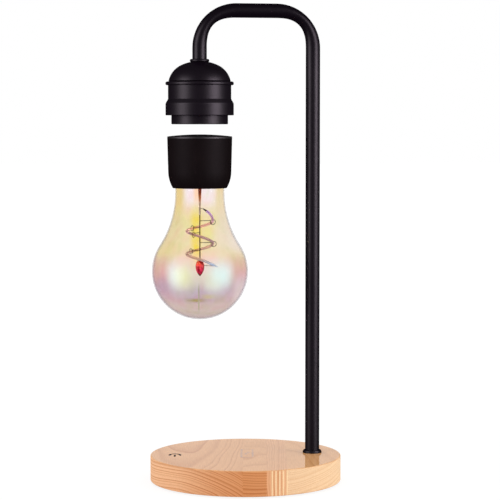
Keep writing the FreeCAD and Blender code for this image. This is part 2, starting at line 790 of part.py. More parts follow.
def make_dc_jack():
    """The inlet's axis is parallel to Y, so its outlines are radius and depth along -Y."""
    body = new_body("dc_jack", y=f"{BASE_RADIUS} - jack_setback", z="jack_height")
    flange, barrel, bore = "jack_flange / 2", "jack_barrel / 2", "jack_bore / 2"
    rear = "jack_flange_thickness + jack_length"
    shell = body.newObject("PartDesign::Revolution", "jack_turning")
    shell.Profile = draw(body, "jack_outline", "XY_Plane", [outline(
        (bore, "0"), (flange, "0"), (flange, "-jack_flange_thickness"),
        (barrel, "-jack_flange_thickness"), (barrel, f"-({rear})"),
        ("jack_pin_root / 2 + screw_gap", f"-({rear})"),
        ("jack_pin_root / 2 + screw_gap", "-jack_depth"), (bore, "-jack_depth"))])
    shell.ReferenceAxis = (shell.Profile[0], ["V_Axis"])
    shell.Angle = 360
    tabs = body.newObject("PartDesign::Pad", "solder_tabs")
    tabs.Profile = draw(body, "tab_outline", "XZ_Plane",
                        [rectangle(f"{side} * tab_spread", "0", "tab_thickness", "tab_width")
                         for side in (-1, 1)], z=rear)
    bind(tabs, "Length", "tab_length")
    pin = new_body("jack_pin", y=f"{BASE_RADIUS} - jack_setback", z="jack_height")
    tip = "(jack_depth - jack_pin_length)"
    radius, root = "jack_pin_diameter / 2", "jack_pin_root / 2"
    shaft = pin.newObject("PartDesign::Revolution", "pin_turning")
    shaft.Profile = draw(pin, "pin_outline", "XY_Plane", [outline(
        ("0", f"-({rear})"), (root, f"-({rear})"), (root, "-jack_depth"), (radius, "-jack_depth"),
        (radius, f"-{tip}"), ("0", f"-{tip}"))])
    shaft.ReferenceAxis = (shaft.Profile[0], ["V_Axis"])
    shaft.Angle = 360
    nut = new_body("jack_nut", y=NOTCH_REACH, z="jack_height")
    blank = nut.newObject("PartDesign::Pad", "jack_nut_blank")
    blank.Profile = draw(nut, "jack_nut_outline", "XZ_Plane",
                         [hexagon("jack_nut_width"), circle("0", "0", "jack_barrel / 2 + thread_gap")])
    bind(blank, "Length", "jack_nut_thickness")
    leads = new_body("jack_leads", y="board_width / 2 - block_inset", z="jack_height")
    leads.AllowCompound = True
    wires = leads.newObject("PartDesign::Pad", "jack_wires")
    wires.Profile = draw(leads, "jack_wire_outline", "XZ_Plane",
                         [circle(f"{side} * tab_spread", "0", "lead_diameter / 2")
                          for side in (-1, 1)])
    bind(wires, "Length", f"{BASE_RADIUS} - jack_setback - board_width / 2 + block_inset"
                          f" - ({rear}) - tab_length")
    wires.Reversed = True


def make_base():
    make_wood_base()
    make_bottom_cover()
    make_rubber_feet()
    make_cover_screws()
    make_ballast_plate()
    make_main_board()
    make_board_screws()
    make_charging_coil()
    make_coil_screws()
    make_coil_leads()
    make_touch_switch()
    make_dc_jack()


# ------------------------------------------------------------------------ arm


def arm_route(foot_level, end_level):
    """The tube's centre line, up the post, over both bends and down to the head."""
    return [("0", foot_level), ("0", BEND_LEVEL),
            ("-bend_radius", ARM_AXIS, "bend_radius", "left"),
            ("-arm_span + bend_radius", ARM_AXIS),
            ("-arm_span", BEND_LEVEL, "bend_radius", "left"),
            ("-arm_span", end_level)]


# Equal steps in which the loft of each bend goes round, the gap that joins its ends to the
# straight runs, and what keeps an oval's width its long axis at the round ends of a bend.
BEND_STEPS = 8
SEAM_TOLERANCE = 1e-4
LONG_AXIS_MARGIN = 1e-9


def bend_oval(middle, angle, wall):
    """The tube's oval outline in a bend, pressed flattest half way round."""
    share = math.sin(2 * angle) ** 2
    thickness = value("tube_diameter") - value("bend_flattening") * share
    width = value("tube_diameter") + value("bend_swell") * share
    out = Vector(math.cos(angle), 0, math.sin(angle))
    centre = middle + out * (value("bend_radius") + (value("tube_diameter") - thickness) / 2)
    oval = Part.Ellipse(centre + Vector(0, width / 2 - wall + LONG_AXIS_MARGIN, 0),
                        centre + out * (thickness / 2 - wall), centre)
    return Part.Wire([oval.toShape()])


def bend_solid(middle, start, wall):
    angles = [start + math.pi / 2 * step / BEND_STEPS for step in range(BEND_STEPS + 1)]
    return Part.makeLoft([bend_oval(middle, angle, wall) for angle in angles], True)


def tube_solid(wall):
    """The bent tube as one solid whose surface lies a wall's thickness below the outside."""
    level, top, span = value(BEND_LEVEL), value(ARM_AXIS), value("arm_span")
    bend = value("bend_radius")
    runs = [(Vector(0, 0, value(TUBE_FOOT)), Vector(0, 0, level)),
            (Vector(-bend, 0, top), Vector(bend - span, 0, top)),
            (Vector(-span, 0, level), Vector(-span, 0, value(TUBE_END)))]
    foot, across, drop = [straight_wire(start, end, value("tube_diameter") / 2 - wall)
                          for start, end in runs]
    over = bend_solid(Vector(-bend, 0, level), 0, wall)
    down = bend_solid(Vector(bend - span, 0, level), math.pi / 2, wall)
    return foot.fuse([over, across, down, drop], SEAM_TOLERANCE)


def make_arm_tube():
    """A tube bent over a former, which keeps the outside of each bend and flattens the inside."""
    walled = tube_solid(0).cut(tube_solid(value("tube_wall")))
    shaped("arm_tube", walled.Solids[0], x=POST_X)


def make_arm():
    step = "foot_collar_diameter / 2"
    turned("foot_collar", (NIPPLE_HOLE, "0"), (step, "0"), (step, "foot_collar_step"),
           (f"{step} - foot_collar_step / 2", "foot_collar_height - foot_collar_step / 2"),
           (f"{step} - foot_collar_step", "foot_collar_height"),
           (NIPPLE_HOLE, "foot_collar_height"), x=POST_X, z=WOOD_TOP)
    nipple_foot = f"({WEB_BOTTOM} - washer_thickness - nut_thickness - nipple_proud)"
    washer_shape("foot_nipple", NIPPLE_RADIUS, "nipple_bore / 2",
                 f"{TUBE_FOOT} + foot_nipple_reach - {nipple_foot}", x=POST_X, z=nipple_foot)
    washer_shape("foot_washer", "washer_diameter / 2", NIPPLE_HOLE, "washer_thickness",
                 x=POST_X, z=f"({WEB_BOTTOM} - washer_thickness)")
    locknut("foot_nut", "nut_width", "nut_thickness", NIPPLE_HOLE, POST_X, "0",
            f"({WEB_BOTTOM} - washer_thickness - nut_thickness)")
    make_arm_tube()
    cable = new_body("arm_cable", x=POST_X)
    cable_start = f"board_shift + board_length / 2 - {POST_X}"
    lower = [(cable_start, BOARD_MIDDLE),
             ("-cable_turn", BOARD_MIDDLE),
             ("0", f"{BOARD_MIDDLE} + cable_turn", "cable_turn", "left")]
    upper = arm_route("0", f"{DRIVE_BOARD_TOP} + drive_block_height")[1:]
    feature = cable.newObject("PartDesign::AdditivePipe", "cable_run")
    feature.Profile = draw(cable, "cable_section", "YZ_Plane",
                           [circle("0", BOARD_MIDDLE, "cable_diameter / 2")],
                           z=cable_start)
    spine = draw(cable, "cable_route", "XZ_Plane", [outline(*lower, *upper, closed=False)])
    feature.Spine = (spine, [])


# ----------------------------------------------------------------------- head


def make_neck():
    edge = "neck_collar_diameter / 2"
    turned("neck_collar", (NIPPLE_HOLE, "0"), (f"{edge} - neck_collar_height / 4", "0"),
           (f"{edge} - neck_collar_height / 4", "neck_collar_height", "neck_collar_bulge", "left"),
           (NIPPLE_HOLE, "neck_collar_height"), x=HEAD_AXIS, z=LAND)
    nipple_end = f"({LAND} - head_wall - nut_thickness - nipple_proud)"
    washer_shape("head_nipple", NIPPLE_RADIUS, "nipple_bore / 2",
                 f"{TUBE_END} + head_nipple_reach - {nipple_end}", x=HEAD_AXIS, z=nipple_end)
    locknut("head_nut", "nut_width", "nut_thickness", NIPPLE_HOLE, HEAD_AXIS, "0",
            f"({LAND} - head_wall - nut_thickness)")


def make_head_dome():
    spigot = f"({HEAD_BORE} - spigot_gap)"
    inside = f"({spigot} - spigot_wall)"
    inner_flat = f"sqrt(({CROWN} - head_wall)^2 - ({LAND_RISE} - head_wall - {CROWN_Z})^2)"
    edge_level = "(dome_skirt + dome_edge)"
    edge = f"({SHOULDER_X} + sqrt(dome_shoulder^2 - {edge_level}^2))"
    turned(
        "head_dome",
        (f"{edge} - dome_edge", "dome_skirt"), (edge, edge_level),
        (f"{CROWN} * {CROWN_SHARE_X}", f"{CROWN_Z} + {CROWN} * {CROWN_SHARE_Z}",
         "dome_shoulder", "left"),
        ("dome_land", LAND_RISE, CROWN, "left"),
        (NIPPLE_HOLE, LAND_RISE),
        (NIPPLE_HOLE, f"{LAND_RISE} - head_wall"),
        (inner_flat, f"{LAND_RISE} - head_wall"),
        (f"({CROWN} - head_wall) * {CROWN_SHARE_X}",
         f"{CROWN_Z} + ({CROWN} - head_wall) * {CROWN_SHARE_Z}",
         f"{CROWN} - head_wall", "right"),
        (inside, f"sqrt((dome_shoulder - head_wall)^2 - ({inside} - {SHOULDER_X})^2)",
         "dome_shoulder - head_wall", "right"),
        (inside, "dome_skirt - spigot_depth"), (spigot, "dome_skirt - spigot_depth"),
        (spigot, "dome_skirt"), x=HEAD_AXIS, z=SPRING_LINE)


def make_head_body():
    rim, band = "rim_diameter / 2", "band_diameter / 2"
    waist_end = "(-rim_height - waist_height)"
    flare_end = f"({waist_end} - flare_height)"
    bottom = f"({flare_end} - band_height)"
    out = f"({band} - {HEAD_RADIUS})"
    slant = f"sqrt({out}^2 + flare_height^2)"
    lip = "ring_diameter / 2 + ring_gap"
    shelf = f"({HEAD_BORE} - ledge_width)"
    shelf_top = "(-spigot_depth - drive_board_thickness)"
    turned(
        "head_body",
        (HEAD_BORE, "0"), (f"{rim} - rim_edge", "0"), (rim, "-rim_edge", "rim_edge", "right"),
        (rim, "-rim_height + rim_edge / 2"), (f"{rim} - rim_edge / 2", "-rim_height"),
        (HEAD_RADIUS, "-rim_height"),
        (HEAD_RADIUS, waist_end),
        (f"{band} - band_shoulder * {out} / {slant}",
         f"{flare_end} + band_shoulder * flare_height / {slant}"),
        (band, f"{flare_end} - band_shoulder",
         f"band_shoulder * {out} / ({slant} - flare_height)", "right"),
        (band, f"{bottom} + band_chamfer"), (f"{band} - band_chamfer", bottom), (lip, bottom),
        (lip, f"{bottom} + lip_height"), (BAND_BORE, f"{bottom} + lip_height"),
        (BAND_BORE, flare_end), (HEAD_BORE, waist_end),
        (HEAD_BORE, f"{shelf_top} - ledge_height - ledge_width"),
        (shelf, f"{shelf_top} - ledge_height"), (shelf, shelf_top), (HEAD_BORE, shelf_top),
        x=HEAD_AXIS, z=RIM_TOP)


def make_head_ring():
    ring = "ring_diameter / 2"
    bore = f"({ring} - ring_wall)"
    seat = "(ring_height + lip_height)"
    flange = f"({BAND_BORE} - ring_gap)"
    turned("head_ring", ("0", "0"), (f"{ring} - ring_chamfer", "0"), (ring, "ring_chamfer"),
           (ring, seat), (flange, seat), (flange, f"{seat} + ring_flange_thickness"),
           (bore, f"{seat} + ring_flange_thickness"), (bore, "ring_floor"), ("0", "ring_floor"),
           x=HEAD_AXIS, z=HEAD_BOTTOM)


def make_electromagnet():
    washer_shape("power_coil", "power_coil_diameter / 2", "power_coil_hole / 2",
                 "power_coil_thickness", x=HEAD_AXIS, z=STACK_FLOOR)
    hall = new_body("hall_board", HEAD_AXIS, "0", STACK_FLOOR)
    pad(hall, "hall_disc", [circle("0", "0", "hall_board_diameter / 2")], "hall_board_thickness")
    pad(hall, "hall_sensor", [rectangle("0", "0", "hall_sensor_size", "hall_sensor_size")],
        "hall_sensor_height", start="hall_board_thickness")
    washer_shape("power_ferrite", "power_ferrite_diameter / 2", "bias_magnet_hole / 2",
                 "power_ferrite_thickness", x=HEAD_AXIS, z=POWER_FERRITE_LEVEL)
    washer_shape("bias_magnet", "bias_magnet_diameter / 2", "bias_magnet_hole / 2",
                 "bias_magnet_thickness", x=HEAD_AXIS, z=BIAS_LEVEL)
    bore = "(core_diameter / 2 + core_gap)"
    sleeve = f"({bore} + bobbin_wall)"
    edge = "bobbin_diameter / 2"
    turned("coil_bobbin", (bore, "0"), (edge, "0"), (edge, "bobbin_flange"),
           (sleeve, "bobbin_flange"), (sleeve, "bobbin_height - bobbin_flange"),
           (edge, "bobbin_height - bobbin_flange"), (edge, "bobbin_height"),
           (bore, "bobbin_height"), x=HEAD_AXIS, z=BOBBIN_LEVEL)
    washer_shape("coil_winding", "winding_diameter / 2", f"({sleeve} + winding_gap)",
                 "bobbin_height - 2 * bobbin_flange - 2 * winding_gap", x=HEAD_AXIS,
                 z=f"({BOBBIN_LEVEL} + bobbin_flange + winding_gap)")
    plate = "core_plate_diameter / 2"
    core = "core_diameter / 2"
    turned("iron_core", ("0", "-bobbin_height - bias_magnet_thickness"),
           (core, "-bobbin_height - bias_magnet_thickness"), (core, "0"), (plate, "0"),
           (plate, "core_plate_thickness"), ("0", "core_plate_thickness"),
           x=HEAD_AXIS, z=CORE_PLATE_LEVEL)


def make_drive_board():
    body = new_body("drive_board", HEAD_AXIS, "0", LEDGE_TOP)
    pad(body, "drive_disc", [circle("0", "0", f"{HEAD_BORE} - ring_gap")],
        "drive_board_thickness")
    pad(body, "drive_block", [rectangle("0", "0", "drive_block_size", "drive_block_size")],
        "drive_block_height", start="drive_board_thickness")
    pad(body, "drive_chip", [rectangle("drive_chip_offset", "0", "chip_size", "chip_size")],
        "chip_height", start="drive_board_thickness")


def make_head():
    make_neck()
    make_head_dome()
    make_head_body()
    make_head_ring()
    make_electromagnet()
    make_drive_board()


# ------------------------------------------------------------- floating bulb


def make_bulb_cap():
    top, side = "(cap_top_diameter / 2)", "(cap_side_diameter / 2)"
    bottom = "(cap_bottom_diameter / 2)"
    round_in = f"({side} - {bottom})"
    round_radius = f"({round_in}^2 + cap_round^2) / (2 * {round_in})"
    turned("bulb_cap",
           (COLLAR_OPENING, "0"), (bottom, "0"), (side, "cap_round", round_radius, "left"),
           (top, LID_SEAT), (CAP_BORE, LID_SEAT), (CAP_BORE, "holder_level"),
           (CAP_SHELF_RADIUS, "holder_level"), (CAP_SHELF_RADIUS, "driver_level"),
           (COLLAR_OPENING, "driver_level"), x=HEAD_AXIS, z=CAP_BOTTOM)


def make_cap_lid():
    top = "(cap_top_diameter / 2)"
    shoulder = f"({top} - lid_edge)"
    crown = f"({shoulder}^2 + lid_rise^2) / (2 * lid_rise)"
    spigot = f"({CAP_BORE} - lid_gap)"
    boss = "(magnet_diameter / 2 - holder_wall)"
    boss_end = f"({MAGNET_LEVEL} + magnet_thickness + magnet_gap - {CAP_BOTTOM} - {LID_SEAT})"
    turned("cap_lid",
           ("0", boss_end), (boss, boss_end), (boss, "0"), (f"{spigot} - lid_spigot_wall", "0"),
           (f"{spigot} - lid_spigot_wall", "-lid_spigot"), (spigot, "-lid_spigot"),
           (spigot, "0"), (top, "0"), (top, "lid_thickness - lid_edge"),
           (shoulder, "lid_thickness", "lid_edge", "left"),
           ("0", "lid_thickness + lid_rise", crown, "left"),
           x=HEAD_AXIS, z=f"({CAP_BOTTOM} + {LID_SEAT})")


def make_levitation_magnet():
    rim = "magnet_diameter / 2"
    turned("levitation_magnet",
           ("0", "0"), (f"{rim} - magnet_chamfer", "0"), (rim, "magnet_chamfer"),
           (rim, "magnet_thickness - magnet_chamfer"),
           (f"{rim} - magnet_chamfer", "magnet_thickness"), ("0", "magnet_thickness"),
           x=HEAD_AXIS, z=MAGNET_LEVEL)


def make_magnet_holder():
    """A cup for the magnet, hung by its flange from a step in the cap."""
    floor = "(-holder_drop)"
    flange = f"({CAP_BORE} - lid_gap)"
    turned("magnet_holder",
           ("0", f"{floor} - holder_wall"), (HOLDER_RADIUS, f"{floor} - holder_wall"),
           (HOLDER_RADIUS, "0"), (flange, "0"), (flange, "holder_flange"),
           (HOLDER_RADIUS, "holder_flange"), (HOLDER_RADIUS, "holder_flange + holder_rise"),
           (HOLDER_BORE, "holder_flange + holder_rise"), (HOLDER_BORE, floor), ("0", floor),
           x=HEAD_AXIS, z=f"({CAP_BOTTOM} + holder_level)")


def make_cap_electronics():
    hole = f"({HOLDER_RADIUS} + lid_gap)"
    washer_shape("receiver_ferrite", "receiver_diameter / 2 + lid_gap", hole,
                 "receiver_ferrite_thickness", x=HEAD_AXIS, z=HOLDER_TOP)
    washer_shape("receiver_coil", "receiver_diameter / 2", hole, "receiver_coil_thickness",
                 x=HEAD_AXIS, z=f"({HOLDER_TOP} + receiver_ferrite_thickness)")
    board = new_body("driver_board", HEAD_AXIS, "0", f"({CAP_BOTTOM} + driver_level)")
    pad(board, "driver_disc", [circle("0", "0", f"{CAP_SHELF_RADIUS} - lid_gap")],
        "driver_board_thickness")
    pad(board, "driver_chips", [rectangle(f"{side} * driver_chip_offset", "0", "driver_chip_size",
                                          "driver_chip_size") for side in (-1, 1)],
        "driver_chip_height", start="driver_board_thickness")
    washer_shape("cement_ring", COLLAR_OPENING, NECK_RADIUS, "neck_insert - cement_inset",
                 x=HEAD_AXIS, z=f"({CAP_BOTTOM} + cement_inset)")


GLOBE = "(globe_diameter / 2)"
FLARE_X = f"({NECK_RADIUS} + neck_flare)"
FLARE_Z = f"sqrt((neck_flare + {GLOBE})^2 - {FLARE_X}^2)"
NECK_TOP = "(globe_drop + neck_insert)"


def make_glass_bulb():
    """A thin blown envelope: a globe, a flared shoulder that meets it, and a neck."""
    inner = f"({GLOBE} - glass_wall)"
    share = f"(({GLOBE}) / (neck_flare + {GLOBE}))"
    inner_share = f"({inner} / (neck_flare + {GLOBE}))"
    turned("glass_bulb",
           ("0", f"-{GLOBE}"),
           (f"{share} * {FLARE_X}", f"{share} * {FLARE_Z}", GLOBE, "left"),
           (NECK_RADIUS, FLARE_Z, "neck_flare", "right"),
           (NECK_RADIUS, NECK_TOP), (f"{NECK_RADIUS} - glass_wall", NECK_TOP),
           (f"{NECK_RADIUS} - glass_wall", FLARE_Z),
           (f"{inner_share} * {FLARE_X}", f"{inner_share} * {FLARE_Z}",
            "neck_flare + glass_wall", "left"),
           ("0", f"-{inner}", inner, "right"), x=HEAD_AXIS, z=GLOBE_CENTRE)


def make_glass_stem():
    """The glass that closes the neck and carries the filament on a thin drawn tip."""
    edge = f"({NECK_RADIUS} - glass_wall - stem_gap)"
    throat = "(stem_throat / 2)"
    throat_level = f"({NECK_TOP} - stem_flare_depth)"
    funnel = "stem_funnel_radius"
    turned("glass_stem",
           ("0", "stem_tip_level"), ("stem_tip / 2", "stem_tip_level"),
           ("stem_tip / 2", "stem_pinch_level - stem_pinch"),
           ("stem_pinch / 2", "stem_pinch_level"), ("stem_waist / 2", "globe_drop"),
           (throat, throat_level),
           (edge, f"{NECK_TOP} - glass_wall", funnel, "right"),
           (edge, NECK_TOP), (f"{edge} - glass_wall", NECK_TOP),
           (f"{throat} - glass_wall", f"{throat_level} + glass_wall", funnel, "left"),
           ("0", f"{throat_level} - {throat}"), x=HEAD_AXIS, z=GLOBE_CENTRE)
    body = new_body("stem_leads", HEAD_AXIS, "0", f"({GLOBE_CENTRE} + {throat_level})")
    body.AllowCompound = True
    leads = [circle(f"{side} * stem_lead_spread / 2", "0", "stem_lead_diameter / 2")
             for side in (-1, 1)]
    pad(body, "stem_lead_wires", leads,
        f"({CAP_BOTTOM} + driver_level) - ({GLOBE_CENTRE} + {throat_level})")


def make_centre_rod():
    body = new_body("centre_rod", HEAD_AXIS, "0", f"({GLOBE_CENTRE} + bead_top_level)")
    pad(body, "rod_blank", [circle("0", "0", "rod_diameter / 2")],
        "stem_tip_level - bead_top_level")
    length = "(bead_top_level - bead_tip_level)"
    radius = "(bead_diameter / 2)"
    side = f"(bead_widest^2 + {radius}^2) / (2 * {radius})"
    inset = f"({radius} - bead_neck / 2)"
    shoulder = f"(({length} - bead_widest)^2 + {inset}^2) / (2 * {inset})"
    turned("glass_bead",
           ("0", "0"), (radius, "bead_widest", side, "left"),
           ("bead_neck / 2", length, shoulder, "left"), ("0", length),
           x=HEAD_AXIS, z=f"({GLOBE_CENTRE} + bead_tip_level)")


# Angles of the filament in degrees: its run from the stem to the first hook, the spacing
# of the points that its curve goes through, and where the leaning spiral is highest.
FILAMENT_LEAD = 40.0
FILAMENT_STEP = 25.0
LEAN_ANGLE = 247.0

# Equal steps in which the curve goes along the straight tail.
TAIL_STEPS = 2


def filament_point(angle):
    """A point of the filament's centre line, by its angle in degrees past the first hook."""
    radius = value("filament_radius")
    height = value("filament_level") - value("filament_pitch") * angle / 360
    if angle < 0:
        share = -angle / FILAMENT_LEAD
        radius += (value("filament_start_radius") - radius) * share ** 2
        top = value("filament_start_level")
        height = value("filament_level") + (top - value("filament_level")) * share
    height += value("filament_lean") * math.cos(math.radians(angle - LEAN_ANGLE))
    turn = math.radians(angle)
    return Vector(radius * math.cos(turn), radius * math.sin(turn), height)


def filament_curve():
    """A smooth curve from the stem, out to the spiral, down it and straight off its end."""
    last = 360 * value("filament_turns")
    count = int(round((last + FILAMENT_LEAD) / FILAMENT_STEP))
    step = (last + FILAMENT_LEAD) / count
    points = [filament_point(step * index - FILAMENT_LEAD) for index in range(count + 1)]
    turn = math.radians(last)
    tail = Vector(-math.sin(turn), math.cos(turn), 0) * value("filament_tail")
    tail.z = -value("filament_tail_drop")
    points += [points[-1] + tail * (index / TAIL_STEPS) for index in range(1, TAIL_STEPS + 1)]
    curve = Part.BSplineCurve()
    curve.interpolate(points)
    return curve


def swept(curve, radius):
    """A round wire along a smooth curve."""
    start, along = curve.value(curve.FirstParameter), curve.tangent(curve.FirstParameter)[0]
    section = Part.Wire([Part.makeCircle(radius, start, along)])
    return Part.Wire([curve.toShape()]).makePipeShell([section], True, True)


def in_globe(name, shape):
    """A sub-part shaped about the globe's centre."""
    return shaped(name, shape, HEAD_AXIS, GLOBE_CENTRE)


def make_filament():
    """A left handed spiral on the rod, with a tapered pin in line with it at either end."""
    curve = filament_curve()
    in_globe("filament", swept(curve, value("filament_diameter") / 2))
    root, point = value("clip_diameter") / 2, value("clip_tip") / 2
    ends, cones = [], []
    for end, sense in ((curve.FirstParameter, -1), (curve.LastParameter, 1)):
        start = curve.value(end)
        way = curve.tangent(end)[0].normalize() * sense * value("clip_length")
        cones.append(Part.makeCone(root, point, way.Length, start, way))
        ends.append((start, start + way))
    in_globe("filament_clips", Part.makeCompound(cones))
    return ends


def outward(point):
    return Vector(point.x, point.y, 0).normalize()


def make_lead_wires(pins):
    """The wires that carry current from the stem to the filament's two pins."""
    wire = value("wire_diameter") / 2
    upper, lower = pins[0][1], (pins[1][0] + pins[1][1]) * 0.5
    from_stem = outward(upper) * value("stem_tip") / 2 + Vector(0, 0, upper.z)
    short = straight_wire(from_stem, upper - outward(upper) * value("clip_tip") / 2, wire)
    back = value("wire_offset")
    down = straight_wire(Vector(0, back, value("stem_tip_level")),
                         Vector(0, back, value("bead_top_level")), wire)
    from_bead = outward(lower) * value("bead_diameter") / 2 + Vector(0, 0, lower.z)
    across = straight_wire(from_bead, lower - outward(lower) * value("clip_diameter") / 2, wire)
    in_globe("lead_wires", Part.makeCompound([short, down, across]))


def make_support_hooks():
    """Thin wires from the rod, each ending in a slack ring that the filament passes through."""
    wire = value("hook_wire") / 2
    ring, rise = value("hook_ring") / 2, value("hook_rise")
    reach = value("filament_radius") + value("hook_slack")
    arm = straight_wire(Vector(value("rod_diameter") / 2, 0, rise),
                        Vector(reach - math.sqrt(ring ** 2 - rise ** 2), 0, rise), wire)
    hook = arm.fuse(Part.makeTorus(ring, wire, Vector(reach, 0, 0), Vector(0, 1, 0)))
    hooks = []
    for name in ("one", "two", "three", "four", "five"):
        angle = value(f"hook_angle_{name}")
        copy = hook.copy()
        copy.Placement = Placement(Vector(0, 0, filament_point(angle).z),
                                   Rotation(Vector(0, 0, 1), angle))
        hooks.append(copy)
    in_globe("support_hooks", Part.makeCompound(hooks))


def make_bulb():
    make_bulb_cap()
    make_cap_lid()
    make_levitation_magnet()
    make_magnet_holder()
    make_cap_electronics()
    make_glass_bulb()
    make_glass_stem()
    make_centre_rod()
    make_lead_wires(make_filament())
    make_support_hooks()


# --------------------------------------------------------------------- output


def check_document():
    """Stop if any feature failed or any sub-part has no sound shape."""
    document.recompute()
    for feature in document.Objects:
        if {"Invalid", "Error"} & set(feature.State):
            raise RuntimeError(f"{feature.Label} failed: {feature.State}")
    for part in sub_parts:
        if part.Shape.isNull() or not part.Shape.isValid():
            raise RuntimeError(f"{part.Label} has no valid shape")


def write_parts():
    os.makedirs("parts", exist_ok=True)
    for part in sub_parts:
        part.Shape.exportStep(f"parts/{part.Label}.step")
        print(f"{part.Label}: {len(part.Shape.Solids)} solids, {part.Shape.Volume / 1000:.2f} cm3")


make_base()
make_arm()
make_head()
make_bulb()
check_document()
write_parts()
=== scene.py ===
import math

import bmesh
import bpy
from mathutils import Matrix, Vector


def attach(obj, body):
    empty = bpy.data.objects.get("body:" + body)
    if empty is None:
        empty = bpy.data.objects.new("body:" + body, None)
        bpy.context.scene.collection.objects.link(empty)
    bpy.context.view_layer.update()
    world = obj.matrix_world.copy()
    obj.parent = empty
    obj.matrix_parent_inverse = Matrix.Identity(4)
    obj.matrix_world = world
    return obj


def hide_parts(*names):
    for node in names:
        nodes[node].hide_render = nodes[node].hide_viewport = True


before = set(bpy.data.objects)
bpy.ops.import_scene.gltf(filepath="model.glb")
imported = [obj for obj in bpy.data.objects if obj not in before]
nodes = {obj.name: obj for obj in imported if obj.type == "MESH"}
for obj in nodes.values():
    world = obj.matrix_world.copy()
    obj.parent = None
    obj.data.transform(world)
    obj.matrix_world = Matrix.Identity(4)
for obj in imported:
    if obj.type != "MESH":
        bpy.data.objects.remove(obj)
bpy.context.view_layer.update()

# ---- Camera -----------------------------------------------------------------
# A long lens a little over a metre and a half away, just above the table and
# looking very slightly down.
CAMERA_PLACE = (-0.2631, -1.5782, 0.3012)
CAMERA_TURN = math.radians(-9.6)
CAMERA_DIP = 3.82       # degrees below level
FILM_WIDTH, LENS_LENGTH, SIGHT_REACH = 36, 138, 60
camera_data = bpy.data.cameras.new("studio_camera")
camera = bpy.data.objects.new("studio_camera", camera_data)
bpy.context.scene.collection.objects.link(camera)
camera.location = CAMERA_PLACE
camera.rotation_euler = (math.radians(90 - CAMERA_DIP), 0, CAMERA_TURN)
camera_data.sensor_width = FILM_WIDTH
camera_data.lens = LENS_LENGTH
camera_data.clip_end = SIGHT_REACH
bpy.context.scene.camera = camera
bpy.context.scene.view_settings.view_transform = "Standard"

# ---- Studio -----------------------------------------------------------------
# White paper under and behind the lamp, with a soft light at either side and one
# overhead. Tall soft boxes at both sides show only in the gloss of the black
# pieces, where they draw the long highlights.


def linear(code):
    """An sRGB hex colour as linear red, green, blue and alpha."""
    levels = [int(code[i:i + 2], 16) / 255 for i in (0, 2, 4)]
    return [v / 12.92 if v <= 0.04045 else ((v + 0.055) / 1.055) ** 2.4 for v in levels] + [1]


def add_node(tree, kind, inputs=None, stops=None, **settings):
    """A shader node with its settings, its ramp's stops, and its inputs set or linked."""
    node = tree.nodes.new("ShaderNode" + kind)
    for name, setting in settings.items():
        setattr(node, name, setting)
    for name, given in (inputs or {}).items():
        if isinstance(given, bpy.types.Node):
            given = next(output for output in given.outputs if output.enabled)
        if isinstance(given, bpy.types.NodeSocket):
            tree.links.new(given, node.inputs[name])
        else:
            node.inputs[name].default_value = given
    if stops:
        while len(node.color_ramp.elements) < len(stops):
            node.color_ramp.elements.new(1.0)
        for element, (place, color) in zip(node.color_ramp.elements, stops):
            element.position = place
            element.color = linear(color) if isinstance(color, str) else color
    return node


def seen_directly(tree):
    """1 for rays from the camera, from a mirror or through glass, and 0 for the rest."""
    path = add_node(tree, "LightPath").outputs
    mirror = add_node(tree, "Math", {0: path["Is Camera Ray"], 1: path["Is Glossy Ray"]},
                      operation="MAXIMUM")
    return add_node(tree, "Math", {0: mirror, 1: path["Is Transmission Ray"]},
                    operation="MAXIMUM")


# The air is white to the eye, and lights the lamp at under half of that.
FILL_LIGHT = 0.45
studio = bpy.data.worlds.new("studio_white")
bpy.context.scene.world = studio
studio.use_nodes = True
tree = studio.node_tree
tree.nodes.clear()
strength = add_node(tree, "MapRange", {"Value": seen_directly(tree), "To Min": FILL_LIGHT,
                                       "To Max": 1.0})
white = add_node(tree, "Background", {"Color": linear("FFFFFF"), "Strength": strength})
add_node(tree, "OutputWorld", {"Surface": white})

# Matt paper that glows white to the eye, and near the lamp takes a share of its shadow.
FLOOR_REACH, FLOOR_DROP = 12.0, 0.0002
PAPER_GLOW = 1.06
SHADOW_SHARE, SHADOW_REACH = 0.2, 0.6
bpy.ops.object.select_all(action="DESELECT")
bpy.ops.mesh.primitive_plane_add(size=2 * FLOOR_REACH, location=(0, 0, -FLOOR_DROP))
floor = bpy.context.object
floor.name = "paper_floor"
paper = bpy.data.materials.new("white_paper")
paper.use_nodes = True
tree = paper.node_tree
tree.nodes.clear()
matt = add_node(tree, "BsdfDiffuse", {"Color": linear("F2F2F2")})
bright = add_node(tree, "Emission", {"Color": linear("FFFFFF"), "Strength": PAPER_GLOW})
spot = add_node(tree, "TexCoord").outputs["Object"]
reach = add_node(tree, "VectorMath", {0: spot}, operation="LENGTH")
plain = add_node(tree, "MapRange", {"Value": reach, "From Max": SHADOW_REACH,
                                    "To Min": 1 - SHADOW_SHARE, "To Max": 1.0})
share = add_node(tree, "Math", {0: seen_directly(tree), 1: plain}, operation="MULTIPLY")
mixed = add_node(tree, "MixShader", {0: share, 1: matt, 2: bright})
add_node(tree, "OutputMaterial", {"Surface": mixed})
floor.data.materials.append(paper)

